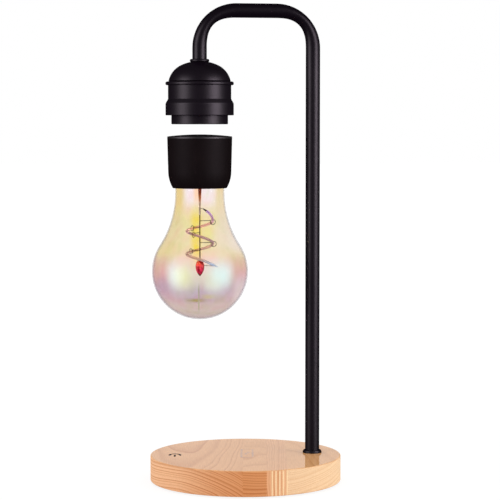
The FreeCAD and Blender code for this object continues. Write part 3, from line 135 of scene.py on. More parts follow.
LAMP_AIM = Vector((0, 0, 0.2))
LAMPS = [  # name, degrees right of the camera, height, distance, width, length, watts, in gloss
    ("left_side_light", -62, 0.3, 1.5, 1.0, 0.5, 9.0, False),
    ("right_side_light", 60, 0.3, 1.5, 1.0, 0.5, 11.0, False),
    ("left_soft_box", -60, 0.6, 1.5, 0.9, 1.1, 118.0, True),
    ("right_soft_box", 58, 0.6, 1.5, 0.9, 1.1, 180.0, True),
    ("overhead_light", 180, 1.9, 0.3, 2.4, 2.4, 20.0, False),
]
SOFT_BOX_TINT = linear("FFF2FD")[:3]
BLACK_PIECES = ("arm_tube", "foot_collar", "neck_collar", "head_dome", "head_body", "head_ring",
                "bulb_cap", "cap_lid")
black_pieces = bpy.data.collections.new("black_pieces")
for name in BLACK_PIECES:
    black_pieces.objects.link(nodes[name])
for name, bearing, height, distance, width, length, watts, in_gloss in LAMPS:
    lamp = bpy.data.lights.new(name, "AREA")
    lamp.shape, lamp.size, lamp.size_y, lamp.energy = "RECTANGLE", width, length, watts
    lamp.color = SOFT_BOX_TINT if in_gloss else (1, 1, 1)
    holder = bpy.data.objects.new(name, lamp)
    holder.visible_glossy = in_gloss
    holder.visible_transmission = holder.visible_diffuse = not in_gloss
    if in_gloss:
        holder.light_linking.receiver_collection = black_pieces
    bpy.context.scene.collection.objects.link(holder)
    turn = CAMERA_TURN + math.radians(bearing)
    holder.location = (distance * math.sin(turn), -distance * math.cos(turn), height)
    holder.rotation_euler = (LAMP_AIM - holder.location).to_track_quat("-Z", "Y").to_euler()

# ---- Wooden base ------------------------------------------------------------
# A round of pine 160 mm across, turned from a block of four boards glued side by
# side with their grain running away from the viewer, and given a gloss lacquer.
# The rim shows the boards' end grain, the top shows long cathedral figures.
MM = 0.001
BASE_RADIUS = 80.0
CODE_REACH = 800.0      # growth centres are coded over this many mm
BOARDS = [  # left edge of the board in mm from the middle, growth centre across and up
    (-80.0, -54, -72),
    (-2.0, 8, -330),
    (17.0, -330, 11),
    (34.0, 35, 125),
]
BOARD_TONES = [  # place in mm from the middle, tone from deep to pale
    (-80, 0.62), (-55, 0.55), (-25, 0.3), (-2.1, 0.08), (-2, 0.0), (16.9, 0.04), (17, 0.42),
    (33.9, 0.5), (34, 0.93), (80, 1.0),
]
RING_SPACING = 2.3      # mm between growth rings
RING_LEAN = 0.042       # how fast the rings rise along the boards
RING_WANDER = 6.0       # mm that a ring strays from its circle
WANDER_SIZE = (40, 120, 40)
YEARS_CYCLE = 8.0       # mm over which rich and lean years take turns
YEARS_SWAY = 2.2        # rings by which they crowd or spread
YEAR_STEP = 0.73        # from one year's boldness to the next in the noise
BOLDNESS, LEAST_BOLD = 1.4, 0.15
STRIPE_SPACING = 3.0
STRIPED = (19.0, 35.5)  # places in mm from the middle where the stripes begin and end
TOP_BEGINS = (0.9, 0.99)    # how upright a face is from the rounded edge to the flat top
RIM_COAT, TOP_COAT = 0.05, 0.6
FIBRE_SIZE, FIBRE_SHARE = (0.5, 16, 0.5), 0.8
FIBRE_RELIEF, FIBRE_DEPTH = 0.04, 0.0003


def dress(finish, *names):
    """Give CAD pieces a finish."""
    for name in names:
        for slot in nodes[name].material_slots:
            slot.material = finish


def finish_named(name, color, **sockets):
    """A material whose shader has these whole-surface settings."""
    finish = bpy.data.materials.new(name)
    finish.use_nodes = True
    shader = finish.node_tree.nodes["Principled BSDF"]
    shader.inputs["Base Color"].default_value = linear(color)
    for socket, setting in sockets.items():
        shader.inputs[socket.replace("_", " ")].default_value = setting
    return finish, finish.node_tree, shader


def grain(tree, place, size, detail=2.0):
    """A cloudy grain over a place in metres, its size in mm along X, Y and Z."""
    scaled = add_node(tree, "Mapping", {"Vector": place, "Scale": [1 / MM / mm for mm in size]})
    return add_node(tree, "TexNoise", {"Vector": scaled, "Scale": 1.0, "Detail": detail})


def over_base(mm):
    """A place across the base as a share of its width."""
    return (mm + BASE_RADIUS) / (2 * BASE_RADIUS)


# Lacquered pine: warm and glossy on top, where the lacquer is thick, and drier at the rim,
# whose end grain drank it.
pine, tree, shader = finish_named("lacquered_pine", "E3B58C", Roughness=0.5,
                                  Coat_Roughness=0.06, Specular_IOR_Level=0.0)
place = add_node(tree, "TexCoord").outputs
turned = add_node(tree, "Mapping", {"Vector": place["Object"], "Rotation": (0, 0, -CAMERA_TURN)})
scaled = add_node(tree, "VectorMath", {0: turned, "Scale": 1 / MM}, operation="SCALE")
along = add_node(tree, "SeparateXYZ", {0: scaled}).outputs
across = add_node(tree, "MapRange", {"Value": along["X"], "From Min": -BASE_RADIUS,
                                     "From Max": BASE_RADIUS})

# Each board's rings are circles about its own growth centre.
coded = add_node(tree, "ValToRGB", {0: across}, [
    (over_base(edge), (x / CODE_REACH + 0.5, z / CODE_REACH + 0.5, 0, 1))
    for edge, x, z in BOARDS])
coded.color_ramp.interpolation = "CONSTANT"
centres = add_node(tree, "SeparateColor", {0: coded}).outputs
pith_x = add_node(tree, "Math", {0: centres[0], 1: CODE_REACH, 2: -CODE_REACH / 2},
                  operation="MULTIPLY_ADD")
pith_z = add_node(tree, "Math", {0: centres[1], 1: CODE_REACH, 2: -CODE_REACH / 2},
                  operation="MULTIPLY_ADD")
side_way = add_node(tree, "Math", {0: along["X"], 1: pith_x}, operation="SUBTRACT")
up_way = add_node(tree, "Math", {0: along["Z"], 1: pith_z}, operation="SUBTRACT")
up_way = add_node(tree, "Math", {0: along["Y"], 1: -RING_LEAN, 2: up_way},
                  operation="MULTIPLY_ADD")
ring_place = add_node(tree, "CombineXYZ", {"X": side_way, "Y": up_way})
distance = add_node(tree, "VectorMath", {0: ring_place}, operation="LENGTH")
distance = add_node(tree, "Math", {0: grain(tree, turned, WANDER_SIZE, 1.0), 1: RING_WANDER,
                                   2: distance}, operation="MULTIPLY_ADD")
years = add_node(tree, "Math", {0: distance, 1: 1 / YEARS_CYCLE}, operation="MULTIPLY")
years = add_node(tree, "TexNoise", {"W": years, "Scale": 1.0, "Detail": 1.0},
                 noise_dimensions="1D")
years = add_node(tree, "Math", {0: years, 1: YEARS_SWAY}, operation="MULTIPLY")
phase = add_node(tree, "Math", {0: distance, 1: 1 / RING_SPACING, 2: years},
                 operation="MULTIPLY_ADD")

# Within a ring the wood darkens slowly to its late wood, and then turns pale at once.
late_wood = add_node(tree, "ValToRGB", {0: add_node(tree, "Math", {0: phase}, operation="FRACT")},
                     [(0.0, "000000"), (0.4, "202020"), (0.72, "BBBBBB"), (0.85, "FFFFFF"),
                      (0.97, "000000")])
boldness = add_node(tree, "TexNoise", {"W": add_node(tree, "Math", {0: phase}, operation="FLOOR"),
                                       "Scale": YEAR_STEP, "Detail": 0.0}, noise_dimensions="1D")
boldness = add_node(tree, "Math", {0: boldness, 1: BOLDNESS, 2: LEAST_BOLD},
                    operation="MULTIPLY_ADD")
late_wood = add_node(tree, "Math", {0: late_wood, 1: boldness}, operation="MULTIPLY")
tone = add_node(tree, "ValToRGB", {0: across}, [(over_base(mm), (level, level, level, 1))
                                                for mm, level in BOARD_TONES])
rim_early = add_node(tree, "ValToRGB", {0: tone}, [(0.0, "DC9865"), (0.3, "E6A778"),
                                                   (0.6, "F6C49B"), (1.0, "F8D7B0")])
rim_late = add_node(tree, "ValToRGB", {0: tone}, [(0.0, "B86B3A"), (0.3, "BB6C3A"),
                                                  (0.6, "CC8652"), (1.0, "E9BE90")])
rim = add_node(tree, "Mix", {0: late_wood, 6: rim_early, 7: rim_late}, data_type="RGBA")

# The third board is cut on the quarter, so its rim shows straight pale stripes.
stripe = add_node(tree, "Math", {0: along["X"], 1: 1 / STRIPE_SPACING}, operation="MULTIPLY")
stripe = add_node(tree, "ValToRGB", {0: add_node(tree, "Math", {0: stripe}, operation="FRACT")},
                  [(0.0, "000000"), (0.12, "FFFFFF"), (0.34, "FFFFFF"), (0.5, "000000")])
quarter_cut = add_node(tree, "ValToRGB", {0: across}, [
    (0.0, "000000"), (over_base(STRIPED[0]), "FFFFFF"), (over_base(STRIPED[1]), "000000")])
quarter_cut.color_ramp.interpolation = "CONSTANT"
stripe = add_node(tree, "Math", {0: stripe, 1: quarter_cut}, operation="MULTIPLY")
rim = add_node(tree, "Mix", {0: stripe, 6: rim, 7: linear("FFE0B4")}, data_type="RGBA")

top_early = add_node(tree, "ValToRGB", {0: tone}, [(0.0, "EEB47D"), (0.5, "EEB47F"),
                                                   (1.0, "EEB67F")])
top_late = add_node(tree, "ValToRGB", {0: tone}, [(0.0, "DDA06B"), (0.5, "D69562"),
                                                  (1.0, "E0A670")])
top = add_node(tree, "Mix", {0: late_wood, 6: top_early, 7: top_late}, data_type="RGBA")
upright = add_node(tree, "SeparateXYZ", {0: place["Normal"]}).outputs["Z"]
upright = add_node(tree, "Math", {0: upright}, operation="ABSOLUTE")
wood = add_node(tree, "Mix", {0: upright, 6: rim, 7: top}, data_type="RGBA")
gloss = add_node(tree, "MapRange", {"Value": upright, "From Min": TOP_BEGINS[0],
                                    "From Max": TOP_BEGINS[1], "To Min": RIM_COAT,
                                    "To Max": TOP_COAT})
tree.links.new(gloss.outputs[0], shader.inputs["Coat Weight"])
fibre = grain(tree, turned, FIBRE_SIZE, 3.0)
streaks = add_node(tree, "ValToRGB", {0: fibre}, [(0.3, "E9E0D9"), (0.7, "FFFFFF")])
wood = add_node(tree, "Mix", {0: FIBRE_SHARE, 6: wood, 7: streaks}, data_type="RGBA",
                blend_type="MULTIPLY")
tree.links.new(wood.outputs[2], shader.inputs["Base Color"])
relief = add_node(tree, "Bump", {"Height": fibre, "Strength": FIBRE_RELIEF,
                                 "Distance": FIBRE_DEPTH})
tree.links.new(relief.outputs[0], shader.inputs["Normal"])
dress(pine, "wood_base")

# ---- Touch mark -------------------------------------------------------------
# The switch's sign, burnt into the wood by a laser: a ring open toward the user
# and a short bar in the opening. It is a dark film a few hundredths thick.
WOOD_TOP = 22.0
MARK_X, MARK_Y = -59.2, 5.4
MARK_STRETCH = 1.35
MARK_THICKNESS, MARK_LIFT = 0.06, 0.01
RING_INNER, RING_OUTER = 3.4, 5.4
RING_OPENING = 1.4      # the ring is cut open from here toward the user
BAR_WIDTH, BAR_LENGTH, BAR_DROP, BAR_CORNER = 1.6, 8.4, 3.3, 0.3


def deselect():
    """Select nothing, because an operator acts on all that is selected."""
    if bpy.context.mode != "OBJECT":
        bpy.ops.object.mode_set(mode="OBJECT")
    bpy.ops.object.select_all(action="DESELECT")


def select_vertices(piece, chosen):
    """In edit mode, select the vertices whose place in mm passes a test."""
    mesh = bmesh.from_edit_mesh(piece.data)
    mesh.select_mode = {"VERT"}
    bpy.context.tool_settings.mesh_select_mode = (True, False, False)
    for vertex in mesh.verts:
        vertex.select_set(bool(chosen(piece.matrix_world @ vertex.co / MM)))
    mesh.select_flush_mode()
    bmesh.update_edit_mesh(piece.data)


def thicken(piece, thickness):
    """Turn a flat film into a closed one with walls."""
    bpy.ops.object.mode_set(mode="OBJECT")
    wall = piece.modifiers.new("wall", "SOLIDIFY")
    wall.thickness = thickness * MM
    wall.offset = 1.0
    bpy.ops.object.modifier_apply(modifier=wall.name)


def join(pieces):
    """Make one piece of several, in the first one's object."""
    deselect()
    for piece in pieces:
        piece.select_set(True)
    bpy.context.view_layer.objects.active = pieces[0]
    bpy.ops.object.join()


def face_user(place):
    """Turn the selected mark about its place to face the user."""
    # With no window the operator turns the other way, hence the sign.
    bpy.ops.transform.rotate(value=-CAMERA_TURN, orient_axis="Z", center_override=place)


def settle(piece, name, finish, body):
    """Put a finished piece's place in its mesh, and hand it over to its body."""
    deselect()
    piece.select_set(True)
    bpy.context.view_layer.objects.active = piece
    bpy.ops.object.transform_apply(location=True, rotation=True, scale=True)
    piece.name = piece.data.name = name
    piece.data.materials.clear()
    piece.data.materials.append(finish)
    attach(piece, body)
    return piece


deselect()
mark_place = Vector((MARK_X, MARK_Y, WOOD_TOP + MARK_LIFT)) * MM
bpy.ops.mesh.primitive_circle_add(vertices=48, radius=RING_INNER * MM, location=mark_place)
ring = bpy.context.object
bpy.ops.object.mode_set(mode="EDIT")
select_vertices(ring, lambda at: at.y < MARK_Y - RING_OPENING)
bpy.ops.mesh.delete(type="VERT")
bpy.ops.mesh.select_all(action="SELECT")
bpy.ops.mesh.extrude_edges_move()
bpy.ops.transform.resize(value=(RING_OUTER / RING_INNER, RING_OUTER / RING_INNER, 1),
                         center_override=mark_place)
bpy.ops.mesh.select_all(action="SELECT")
bpy.ops.transform.resize(value=(1, MARK_STRETCH, 1), center_override=mark_place)
bpy.ops.mesh.normals_make_consistent(inside=False)
thicken(ring, MARK_THICKNESS)
deselect()
bpy.ops.mesh.primitive_plane_add(size=1 * MM,
                                 location=mark_place + Vector((0, -BAR_DROP, 0)) * MM)
bar = bpy.context.object
bpy.ops.object.mode_set(mode="EDIT")
bpy.ops.transform.resize(value=(BAR_WIDTH, BAR_LENGTH, 1))
bpy.ops.mesh.bevel(offset=BAR_CORNER * MM, segments=3, affect="VERTICES")
thicken(bar, MARK_THICKNESS)
join([ring, bar])
face_user(mark_place)

# Wood charred by a laser: brown black and matt, a little uneven along the grain.
burnt, tree, shader = finish_named("laser_burnt_wood", "3A211B", Roughness=0.7,
                                   Specular_IOR_Level=0.1)
place = add_node(tree, "TexCoord").outputs["Object"]
char = add_node(tree, "ValToRGB", {0: grain(tree, place, (0.4, 1.5, 0.4))},
                [(0.35, "0A0507"), (0.65, "2A1816")])
tree.links.new(char.outputs[0], shader.inputs["Base Color"])
settle(ring, "touch_mark", burnt, "stand")

# ---- Phone mark -------------------------------------------------------------
# A faint printed outline of a telephone with a charging bolt in it shows where
# the coil under the wood is. It is a film of ink under the lacquer.
PHONE_X, PHONE_Y = 2.0, 4.0
PHONE_WIDTH, PHONE_LENGTH, PHONE_LINE, PHONE_CORNER = 11.0, 42.0, 1.6, 2.5
BOLT_REACH, BOLT_SHIFT, BOLT_CLIMB = 6.0, 0.9, 3.6
BOLT_SLIMMING, BOLT_STRETCH = 0.3, 1.15
phone_place = Vector((PHONE_X, PHONE_Y, WOOD_TOP + MARK_LIFT)) * MM
deselect()
bpy.ops.mesh.primitive_plane_add(size=1 * MM, location=phone_place)
phone = bpy.context.object
bpy.ops.object.mode_set(mode="EDIT")
bpy.ops.transform.resize(value=(PHONE_WIDTH, PHONE_LENGTH, 1))
bpy.ops.mesh.bevel(offset=PHONE_CORNER * MM, segments=6, affect="VERTICES")
bpy.ops.mesh.select_all(action="SELECT")
bpy.ops.mesh.inset(thickness=PHONE_LINE * MM)
bpy.ops.mesh.delete(type="FACE")
bpy.ops.mesh.select_all(action="SELECT")
thicken(phone, MARK_THICKNESS)
phone_parts = [phone]
for side in (1, -1):    # the bolt's upper half points down and its lower half up
    deselect()
    half_place = phone_place + Vector((side * BOLT_SHIFT, side * BOLT_CLIMB, 0)) * MM
    bpy.ops.mesh.primitive_circle_add(vertices=3, radius=BOLT_REACH * MM, fill_type="NGON",
                                      location=half_place)
    half = bpy.context.object
    bpy.ops.object.mode_set(mode="EDIT")
    bpy.ops.transform.rotate(value=math.pi if side > 0 else 0, orient_axis="Z",
                             center_override=half.location)
    bpy.ops.transform.resize(value=(BOLT_SLIMMING, BOLT_STRETCH, 1))
    thicken(half, MARK_THICKNESS)
    phone_parts.append(half)
join(phone_parts)
face_user(phone_place)

# Thin ink under lacquer: a dusty lilac brown, worn paler along the grain.
ink, tree, shader = finish_named("faint_lilac_ink", "C9A9A0", Roughness=0.5,
                                 Specular_IOR_Level=0.0, Coat_Weight=0.6, Coat_Roughness=0.06)
place = add_node(tree, "TexCoord").outputs["Object"]
worn = add_node(tree, "ValToRGB", {0: grain(tree, place, (1.2, 5, 1.2))},
                [(0.35, "BE9886"), (0.65, "DCA880")])
tree.links.new(worn.outputs[0], shader.inputs["Base Color"])
settle(phone, "phone_mark", ink, "stand")

# ---- Bottom cover, feet and ballast -----------------------------------------
# A disc of black moulded ABS, let into the wood and standing on four rubber pads.
# A galvanised steel plate inside keeps the lamp down.
SPECKLE_DEPTH = 0.0002


def mottled(name, dark, light, size, relief=0.1, **sockets):
    """A finish between two colours, with a grain in mm that also stands in relief."""
    finish, tree, shader = finish_named(name, light, **sockets)
    speckle = grain(tree, add_node(tree, "TexCoord").outputs["Object"], size)
    color = add_node(tree, "ValToRGB", {0: speckle}, [(0.3, dark), (0.7, light)])
    tree.links.new(color.outputs[0], shader.inputs["Base Color"])
    bump = add_node(tree, "Bump", {"Height": speckle, "Strength": relief,
                                   "Distance": SPECKLE_DEPTH})
    tree.links.new(bump.outputs[0], shader.inputs["Normal"])
    return finish


# Spark eroded ABS: matt black with a fine pebbled grain.
dress(mottled("spark_textured_black_abs", "121113", "1E1D1F", (0.5, 0.5, 0.5), 0.3,
              Roughness=0.6, Specular_IOR_Level=0.3), "bottom_cover")
# Natural rubber filled with soot: a dull soft black.
dress(mottled("black_rubber", "151414", "222020", (0.8, 0.8, 0.8), 0.2, Roughness=0.85,
              Specular_IOR_Level=0.2), "rubber_feet")
# Hot dipped zinc: a cool grey with broad pale flowers.
dress(mottled("galvanised_steel", "8E9294", "B4B8BA", (6, 6, 6), 0.05, Roughness=0.45,
              Metallic=1.0), "ballast_plate")

# ---- Cover screws -----------------------------------------------------------
# Four countersunk wood screws with a cross recess, cold headed from steel wire and
# blackened, driven up through the cover into the wood.
SCREW_HEAD, SCREW_SHANK, SCREW_HEIGHT, SCREW_LENGTH = 5.4, 2.9, 1.4, 10.0
SCREW_SEAT, SCREW_REACH, SCREW_COUNT, FIRST_SCREW = 1.0, 66.0, 4, 45
SCREW_POINT = 0.08      # the point's width as a share of the shank's
RECESS_LENGTH, RECESS_WIDTH, RECESS_DEPTH, RECESS_TAPER = 3.2, 0.7, 1.0, 0.4
screw_place = Vector((0, 0, SCREW_SEAT)) * MM
deselect()
bpy.ops.mesh.primitive_circle_add(vertices=32, radius=SCREW_HEAD / 2 * MM, fill_type="NGON",
                                  location=screw_place)
screw = bpy.context.object
bpy.ops.object.mode_set(mode="EDIT")
for climb, shrink in ((SCREW_HEIGHT, SCREW_SHANK / SCREW_HEAD),
                      (SCREW_LENGTH - SCREW_HEIGHT - SCREW_SHANK / 2, 1.0),
                      (SCREW_SHANK / 2, SCREW_POINT)):
    bpy.ops.mesh.extrude_region_move(TRANSFORM_OT_translate={"value": (0, 0, climb * MM)})
    bpy.ops.transform.resize(value=(shrink, shrink, 1))
bpy.ops.mesh.select_all(action="SELECT")
bpy.ops.mesh.normals_make_consistent(inside=False)
for slot_turn in (0, 90):
    deselect()
    bpy.ops.mesh.primitive_cube_add(size=1 * MM, location=screw_place)
    cutter = bpy.context.object
    bpy.ops.object.mode_set(mode="EDIT")
    bpy.ops.transform.resize(value=(RECESS_LENGTH, RECESS_WIDTH, 2 * RECESS_DEPTH))
    select_vertices(cutter, lambda at: at.z > SCREW_SEAT)
    bpy.ops.transform.resize(value=(RECESS_TAPER, RECESS_TAPER, 1))
    bpy.ops.object.mode_set(mode="OBJECT")
    cutter.rotation_euler = (0, 0, math.radians(slot_turn))
    deselect()
    screw.select_set(True)
    bpy.context.view_layer.objects.active = screw
    recess = screw.modifiers.new("recess", "BOOLEAN")
    recess.object, recess.operation, recess.solver = cutter, "DIFFERENCE", "EXACT"
    bpy.ops.object.modifier_apply(modifier=recess.name)
    bpy.data.objects.remove(cutter)
# Blackened steel: a dark metal with a low oily shine.
blackened = mottled("blackened_steel", "1D1D1F", "323235", (0.3, 0.3, 0.3), 0.1, Roughness=0.38,
                    Metallic=1.0)
for count in range(SCREW_COUNT):
    turn = math.radians(FIRST_SCREW + 360 / SCREW_COUNT * count)
    copy = screw.copy()
    copy.data = screw.data.copy()
    bpy.context.scene.collection.objects.link(copy)
    copy.location = Vector((SCREW_REACH * math.cos(turn), SCREW_REACH * math.sin(turn),
                            SCREW_SEAT)) * MM
    copy.rotation_euler = (0, 0, turn)
    settle(copy, f"cover_screw_{count + 1}", blackened, "stand")
bpy.data.objects.remove(screw)
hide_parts("cover_screws")

# ---- Circuit boards, coils and leads ----------------------------------------
# The parts that do the work, out of sight in the base, the head, the cap and the
# stem: glass cloth boards, wound coils on ferrite, and the wires and screws that
# join and hold them.

# Green solder mask: a deep green with a soft gloss.
dress(mottled("green_solder_mask", "0F3D22", "1B5A33", (1.2, 1.2, 1.2), 0.1, Roughness=0.35),
      "main_board", "touch_board", "hall_board", "drive_board", "driver_board")
# Enamelled copper wire: amber brown, with a line for each half millimetre turn.
dress(mottled("enamelled_copper", "7A3516", "C46A36", (60, 60, 0.5), 0.5, Roughness=0.35,
              Metallic=1.0), "charging_coil", "power_coil", "coil_winding", "receiver_coil")
# Sintered ferrite: dark grey and dry, with a fine fired grain.
dress(mottled("sintered_ferrite", "26262A", "36363B", (0.8, 0.8, 0.8), 0.2, Roughness=0.7),
      "charging_ferrite", "power_ferrite", "receiver_ferrite")
# Extruded PVC: an even red with a low shine.
dress(mottled("red_pvc", "8E1613", "A3201B", (2, 2, 2), 0.05, Roughness=0.4),
      "coil_leads", "jack_leads", "touch_lead", "stem_leads")
# Bright zinc plate: a cool pale grey.
dress(mottled("zinc_plated_steel", "9A9EA2", "BCC0C4", (1, 1, 1), 0.05, Roughness=0.35,
              Metallic=1.0), "board_screws", "coil_screws", "foot_washer", "foot_nut", "head_nut")
# Moulded nylon without a dye: milky and slightly yellow.
dress(mottled("natural_nylon", "CFC8B4", "DDD7C6", (2, 2, 2), 0.05, Roughness=0.5),
      "coil_bobbin", "magnet_holder", "coil_plate")

# ---- Charging inlet ---------------------------------------------------------
# A round inlet for the charger's plug, with its centre contact in it. Its flange
# bears on the back of the base, and a nut inside pulls it tight.

# Moulded nylon: black with a dry shine.
dress(mottled("black_nylon", "121214", "1C1C1F", (0.8, 0.8, 0.8), 0.1, Roughness=0.45,
              Specular_IOR_Level=0.35), "dc_jack")
# Nickel plate: a warm bright grey.
dress(mottled("nickel_plate", "A9A49A", "CFCABF", (0.6, 0.6, 0.6), 0.05, Roughness=0.22,
              Metallic=1.0), "jack_pin", "jack_nut")

# ---- Arm --------------------------------------------------------------------
# One length of 12 mm steel tube, bent twice on a 31 mm radius and powder coated.
# Turned steel collars cover both ends, and threaded brass nipples hold it to the
# base and the head, with the head's cable inside.
TOP_RUN, RUN_UP = 0.39, 0.045   # height of the arm's top run, and of the fade below it
TOP_GLOSS = 0.45
CLOUD_SIZE = (9, 9, 14)
PEEL_DEPTH = 0.0001


def black_finish(name, dark, light, gloss, roughness, size, relief):
    """A black coat whose gloss fades towards the arm's top, with an orange peel in mm."""
    finish, tree, shader = finish_named(name, light, Roughness=0.8, Specular_IOR_Level=0.0,
                                        Coat_Weight=gloss, Coat_IOR=3.0, Coat_Roughness=roughness)
    place = add_node(tree, "TexCoord").outputs["Object"]
    cloud = grain(tree, place, CLOUD_SIZE)
    color = add_node(tree, "ValToRGB", {0: cloud}, [(0.3, dark), (0.7, light)])
    tree.links.new(color.outputs[0], shader.inputs["Base Color"])
    bump = add_node(tree, "Bump", {"Height": grain(tree, place, (size, size, size)),
                                   "Strength": relief, "Distance": PEEL_DEPTH})
    tree.links.new(bump.outputs[0], shader.inputs["Coat Normal"])
    rise = add_node(tree, "SeparateXYZ", {0: place}).outputs["Z"]
    duller = add_node(tree, "MapRange", {"Value": rise, "From Min": TOP_RUN - RUN_UP,
                                         "From Max": TOP_RUN, "To Min": gloss,
                                         "To Max": gloss * TOP_GLOSS})
    tree.links.new(duller.outputs[0], shader.inputs["Coat Weight"])
    return finish


# Satin powder coat over blasted steel: near black, with broad soft lights along its sides.
dress(black_finish("powder_coated_steel", "070209", "09030B", 0.016, 0.42, 0.9, 0.05),
      "arm_tube", "foot_collar", "neck_collar")
# Turned brass: yellow, with fine streaks along its length.
dress(mottled("turned_brass", "A67C36", "C69A4C", (0.4, 0.4, 4), 0.05, Roughness=0.3,
              Metallic=1.0), "foot_nipple", "head_nipple")
# Extruded PVC sheath: an even dark grey.
dress(mottled("grey_pvc_cable", "2B2B2D", "38383B", (2, 2, 2), 0.05, Roughness=0.5), "arm_cable")

# ---- Lamp head --------------------------------------------------------------
# A dome and a stepped body like an old lamp holder's, and a ring that closes them
# from below and carries the magnet's face. They push into each other.

# Moulded phenolic: a violet black with the satin shine of the mould.
dress(black_finish("moulded_black_phenolic", "080209", "0A030C", 0.014, 0.42, 0.7, 0.1),
      "head_dome", "head_body", "head_ring")

# ---- Electromagnet ----------------------------------------------------------
# A soft iron core and a ring of sintered magnet in the head, which hold up the
# magnet in the bulb's cap.

# Soft iron: a dull warm grey.
dress(mottled("soft_iron", "4A4744", "6A6662", (1, 1, 1), 0.1, Roughness=0.5, Metallic=1.0),
      "iron_core")
# Nickel plate over sintered magnet: bright and nearly smooth.
dress(mottled("nickel_plated_magnet", "A8A6A2", "C9C7C3", (0.8, 0.8, 0.8), 0.05, Roughness=0.2,
              Metallic=1.0), "bias_magnet", "levitation_magnet")

# ---- Cap of the bulb --------------------------------------------------------
# A deep cup moulded in nylon, closed by a slightly crowned lid that is pressed in.
# The bulb's neck is cemented into it from below.

# Soft touch coat: a brown black that takes the light without a shine.
dress(black_finish("soft_touch_black", "0B0506", "0F0809", 0.0042, 0.6, 0.6, 0.25), "bulb_cap")
# Satin moulded lid: the same black with a wide soft shine.
dress(black_finish("satin_black_lid", "090506", "0D0809", 0.03, 0.5, 0.6, 0.2), "cap_lid")
# Ceramic cement: chalky and rough.
dress(mottled("ceramic_cement", "B9B2A2", "CFC9BB", (0.7, 0.7, 0.7), 0.4, Roughness=0.9),
      "cement_ring")

# ---- Glass bulb -------------------------------------------------------------
# Blown soda glass, 0.8 mm thick, a globe with a long shoulder and a neck that is
# cemented into the cap. A metal oxide lustre is fired on it.
AXIS_X = -38.5
BULB_TURN = math.radians(8.1)   # turns the lustre's front to the user
LOW_Z, HIGH_Z = 137.0, 262.0    # heights that its ramps run between
MIDDLE_ENDS, EDGE_BEGINS = 0.1, 0.37            # from 0, seen squarely, to 1, edge on
# Facings over which the painted shade at the glass's edge fades in.
EDGE_SHADE_BEGINS, EDGE_SHADE_FULL = 0.66, 0.86
# Where the painted highlights sit on the globe: their turn round it, their heart and reach, their
# height and their spread.
HIGHLIGHT_TURN, HIGHLIGHT_HEART, HIGHLIGHT_REACH = math.radians(26), math.radians(3), math.radians(25)
HIGHLIGHT_HEIGHT, HIGHLIGHT_SPREAD = 173.0, 18.0
HIGHLIGHT_SIDE = 0.6     # how far round the painted highlights' colours run, as a sine


def height_stops(*stops):
    """Stops of a ramp over the bulb's height, from places in mm."""
    return [((z - LOW_Z) / (HIGH_Z - LOW_Z), color) for z, color in stops]


def patch(tree, amount, centre, inner, outer):
    """1 where an amount is within inner of a centre, fading to 0 at outer."""
    gap = add_node(tree, "Math", {0: amount, 1: centre}, operation="SUBTRACT")
    gap = add_node(tree, "Math", {0: gap}, operation="ABSOLUTE")
    return add_node(tree, "MapRange", {"Value": gap, "From Min": outer, "From Max": inner},
                    interpolation_type="SMOOTHSTEP")


def laid_over(tree, under, over, first, second, amount):
    """A colour with another laid over it in a patch that is the product of two."""
    both = add_node(tree, "Math", {0: first, 1: second}, operation="MULTIPLY")
    both = add_node(tree, "Math", {0: both, 1: amount}, operation="MULTIPLY")
    return add_node(tree, "Mix", {0: both, 6: under, 7: over}, data_type="RGBA")


# Lustred glass: clear and thin, tinted pink, yellow and lilac by the oxide, paler where it
# is looked at squarely and deeper at the edges.
lustre, tree, shader = finish_named(
    "lustred_blown_glass", "FFFFFF", Roughness=0.0, IOR=1.04, Specular_IOR_Level=0.5,
    Transmission_Weight=1.0, Coat_Weight=0.06, Coat_Roughness=0.42)
place = add_node(tree, "TexCoord").outputs["Object"]
centred = add_node(tree, "Mapping", {"Vector": place, "Location": (-AXIS_X * MM, 0, 0)})
centred = add_node(tree, "Mapping", {"Vector": centred, "Scale": (1 / MM,) * 3,
                                     "Rotation": (0, 0, BULB_TURN)})
along = add_node(tree, "SeparateXYZ", {0: centred}).outputs
height = add_node(tree, "MapRange", {"Value": along["Z"], "From Min": LOW_Z, "From Max": HIGH_Z})
middle = add_node(tree, "ValToRGB", {0: height}, height_stops(
    (137, "C2B0AC"), (147, "C7B1A9"), (152, "BCA8B2"), (157, "B5A3B6"), (163, "C6BBBE"),
    (170, "DAD2BE"), (178, "E4D8CE"), (184, "EDD2CE"), (188, "ECD8BA"), (193, "EAD9B0"),
    (205, "EBDEB4"), (222, "EADBA6"), (229, "ECDDBE"), (236, "F1E3E0"), (246, "F3E8EC"),
    (262, "F3E8EC")))
edge = add_node(tree, "ValToRGB", {0: height}, height_stops(
    (137, "BFB0AC"), (147, "CDB9B2"), (157, "C4A8B0"), (163, "BC9FB0"), (168, "C09EAE"),
    (174, "D6A8AA"), (181, "DAB4A6"), (187, "DAC0A4"), (192, "E2D09C"), (205, "E2D2A6"),
    (220, "DFCFA0"), (232, "E4CF92"), (246, "E4CF90"), (262, "E4CF90")))
facing = add_node(tree, "LayerWeight", {"Blend": 0.5}).outputs["Facing"]
toward_edge = add_node(tree, "MapRange", {"Value": facing, "From Min": MIDDLE_ENDS,
                                          "From Max": EDGE_BEGINS},
                       interpolation_type="SMOOTHSTEP")
tint = add_node(tree, "Mix", {0: toward_edge, 6: middle, 7: edge}, data_type="RGBA")
wisps = grain(tree, place, (9, 9, 14), 1.5)
wisps = add_node(tree, "ValToRGB", {0: wisps}, [(0.3, "FFF0F2"), (0.5, "FFFFFF"),
                                                (0.7, "F4F7E4")])
tint = add_node(tree, "Mix", {0: 1.0, 6: tint, 7: wisps}, data_type="RGBA",
                blend_type="MULTIPLY")
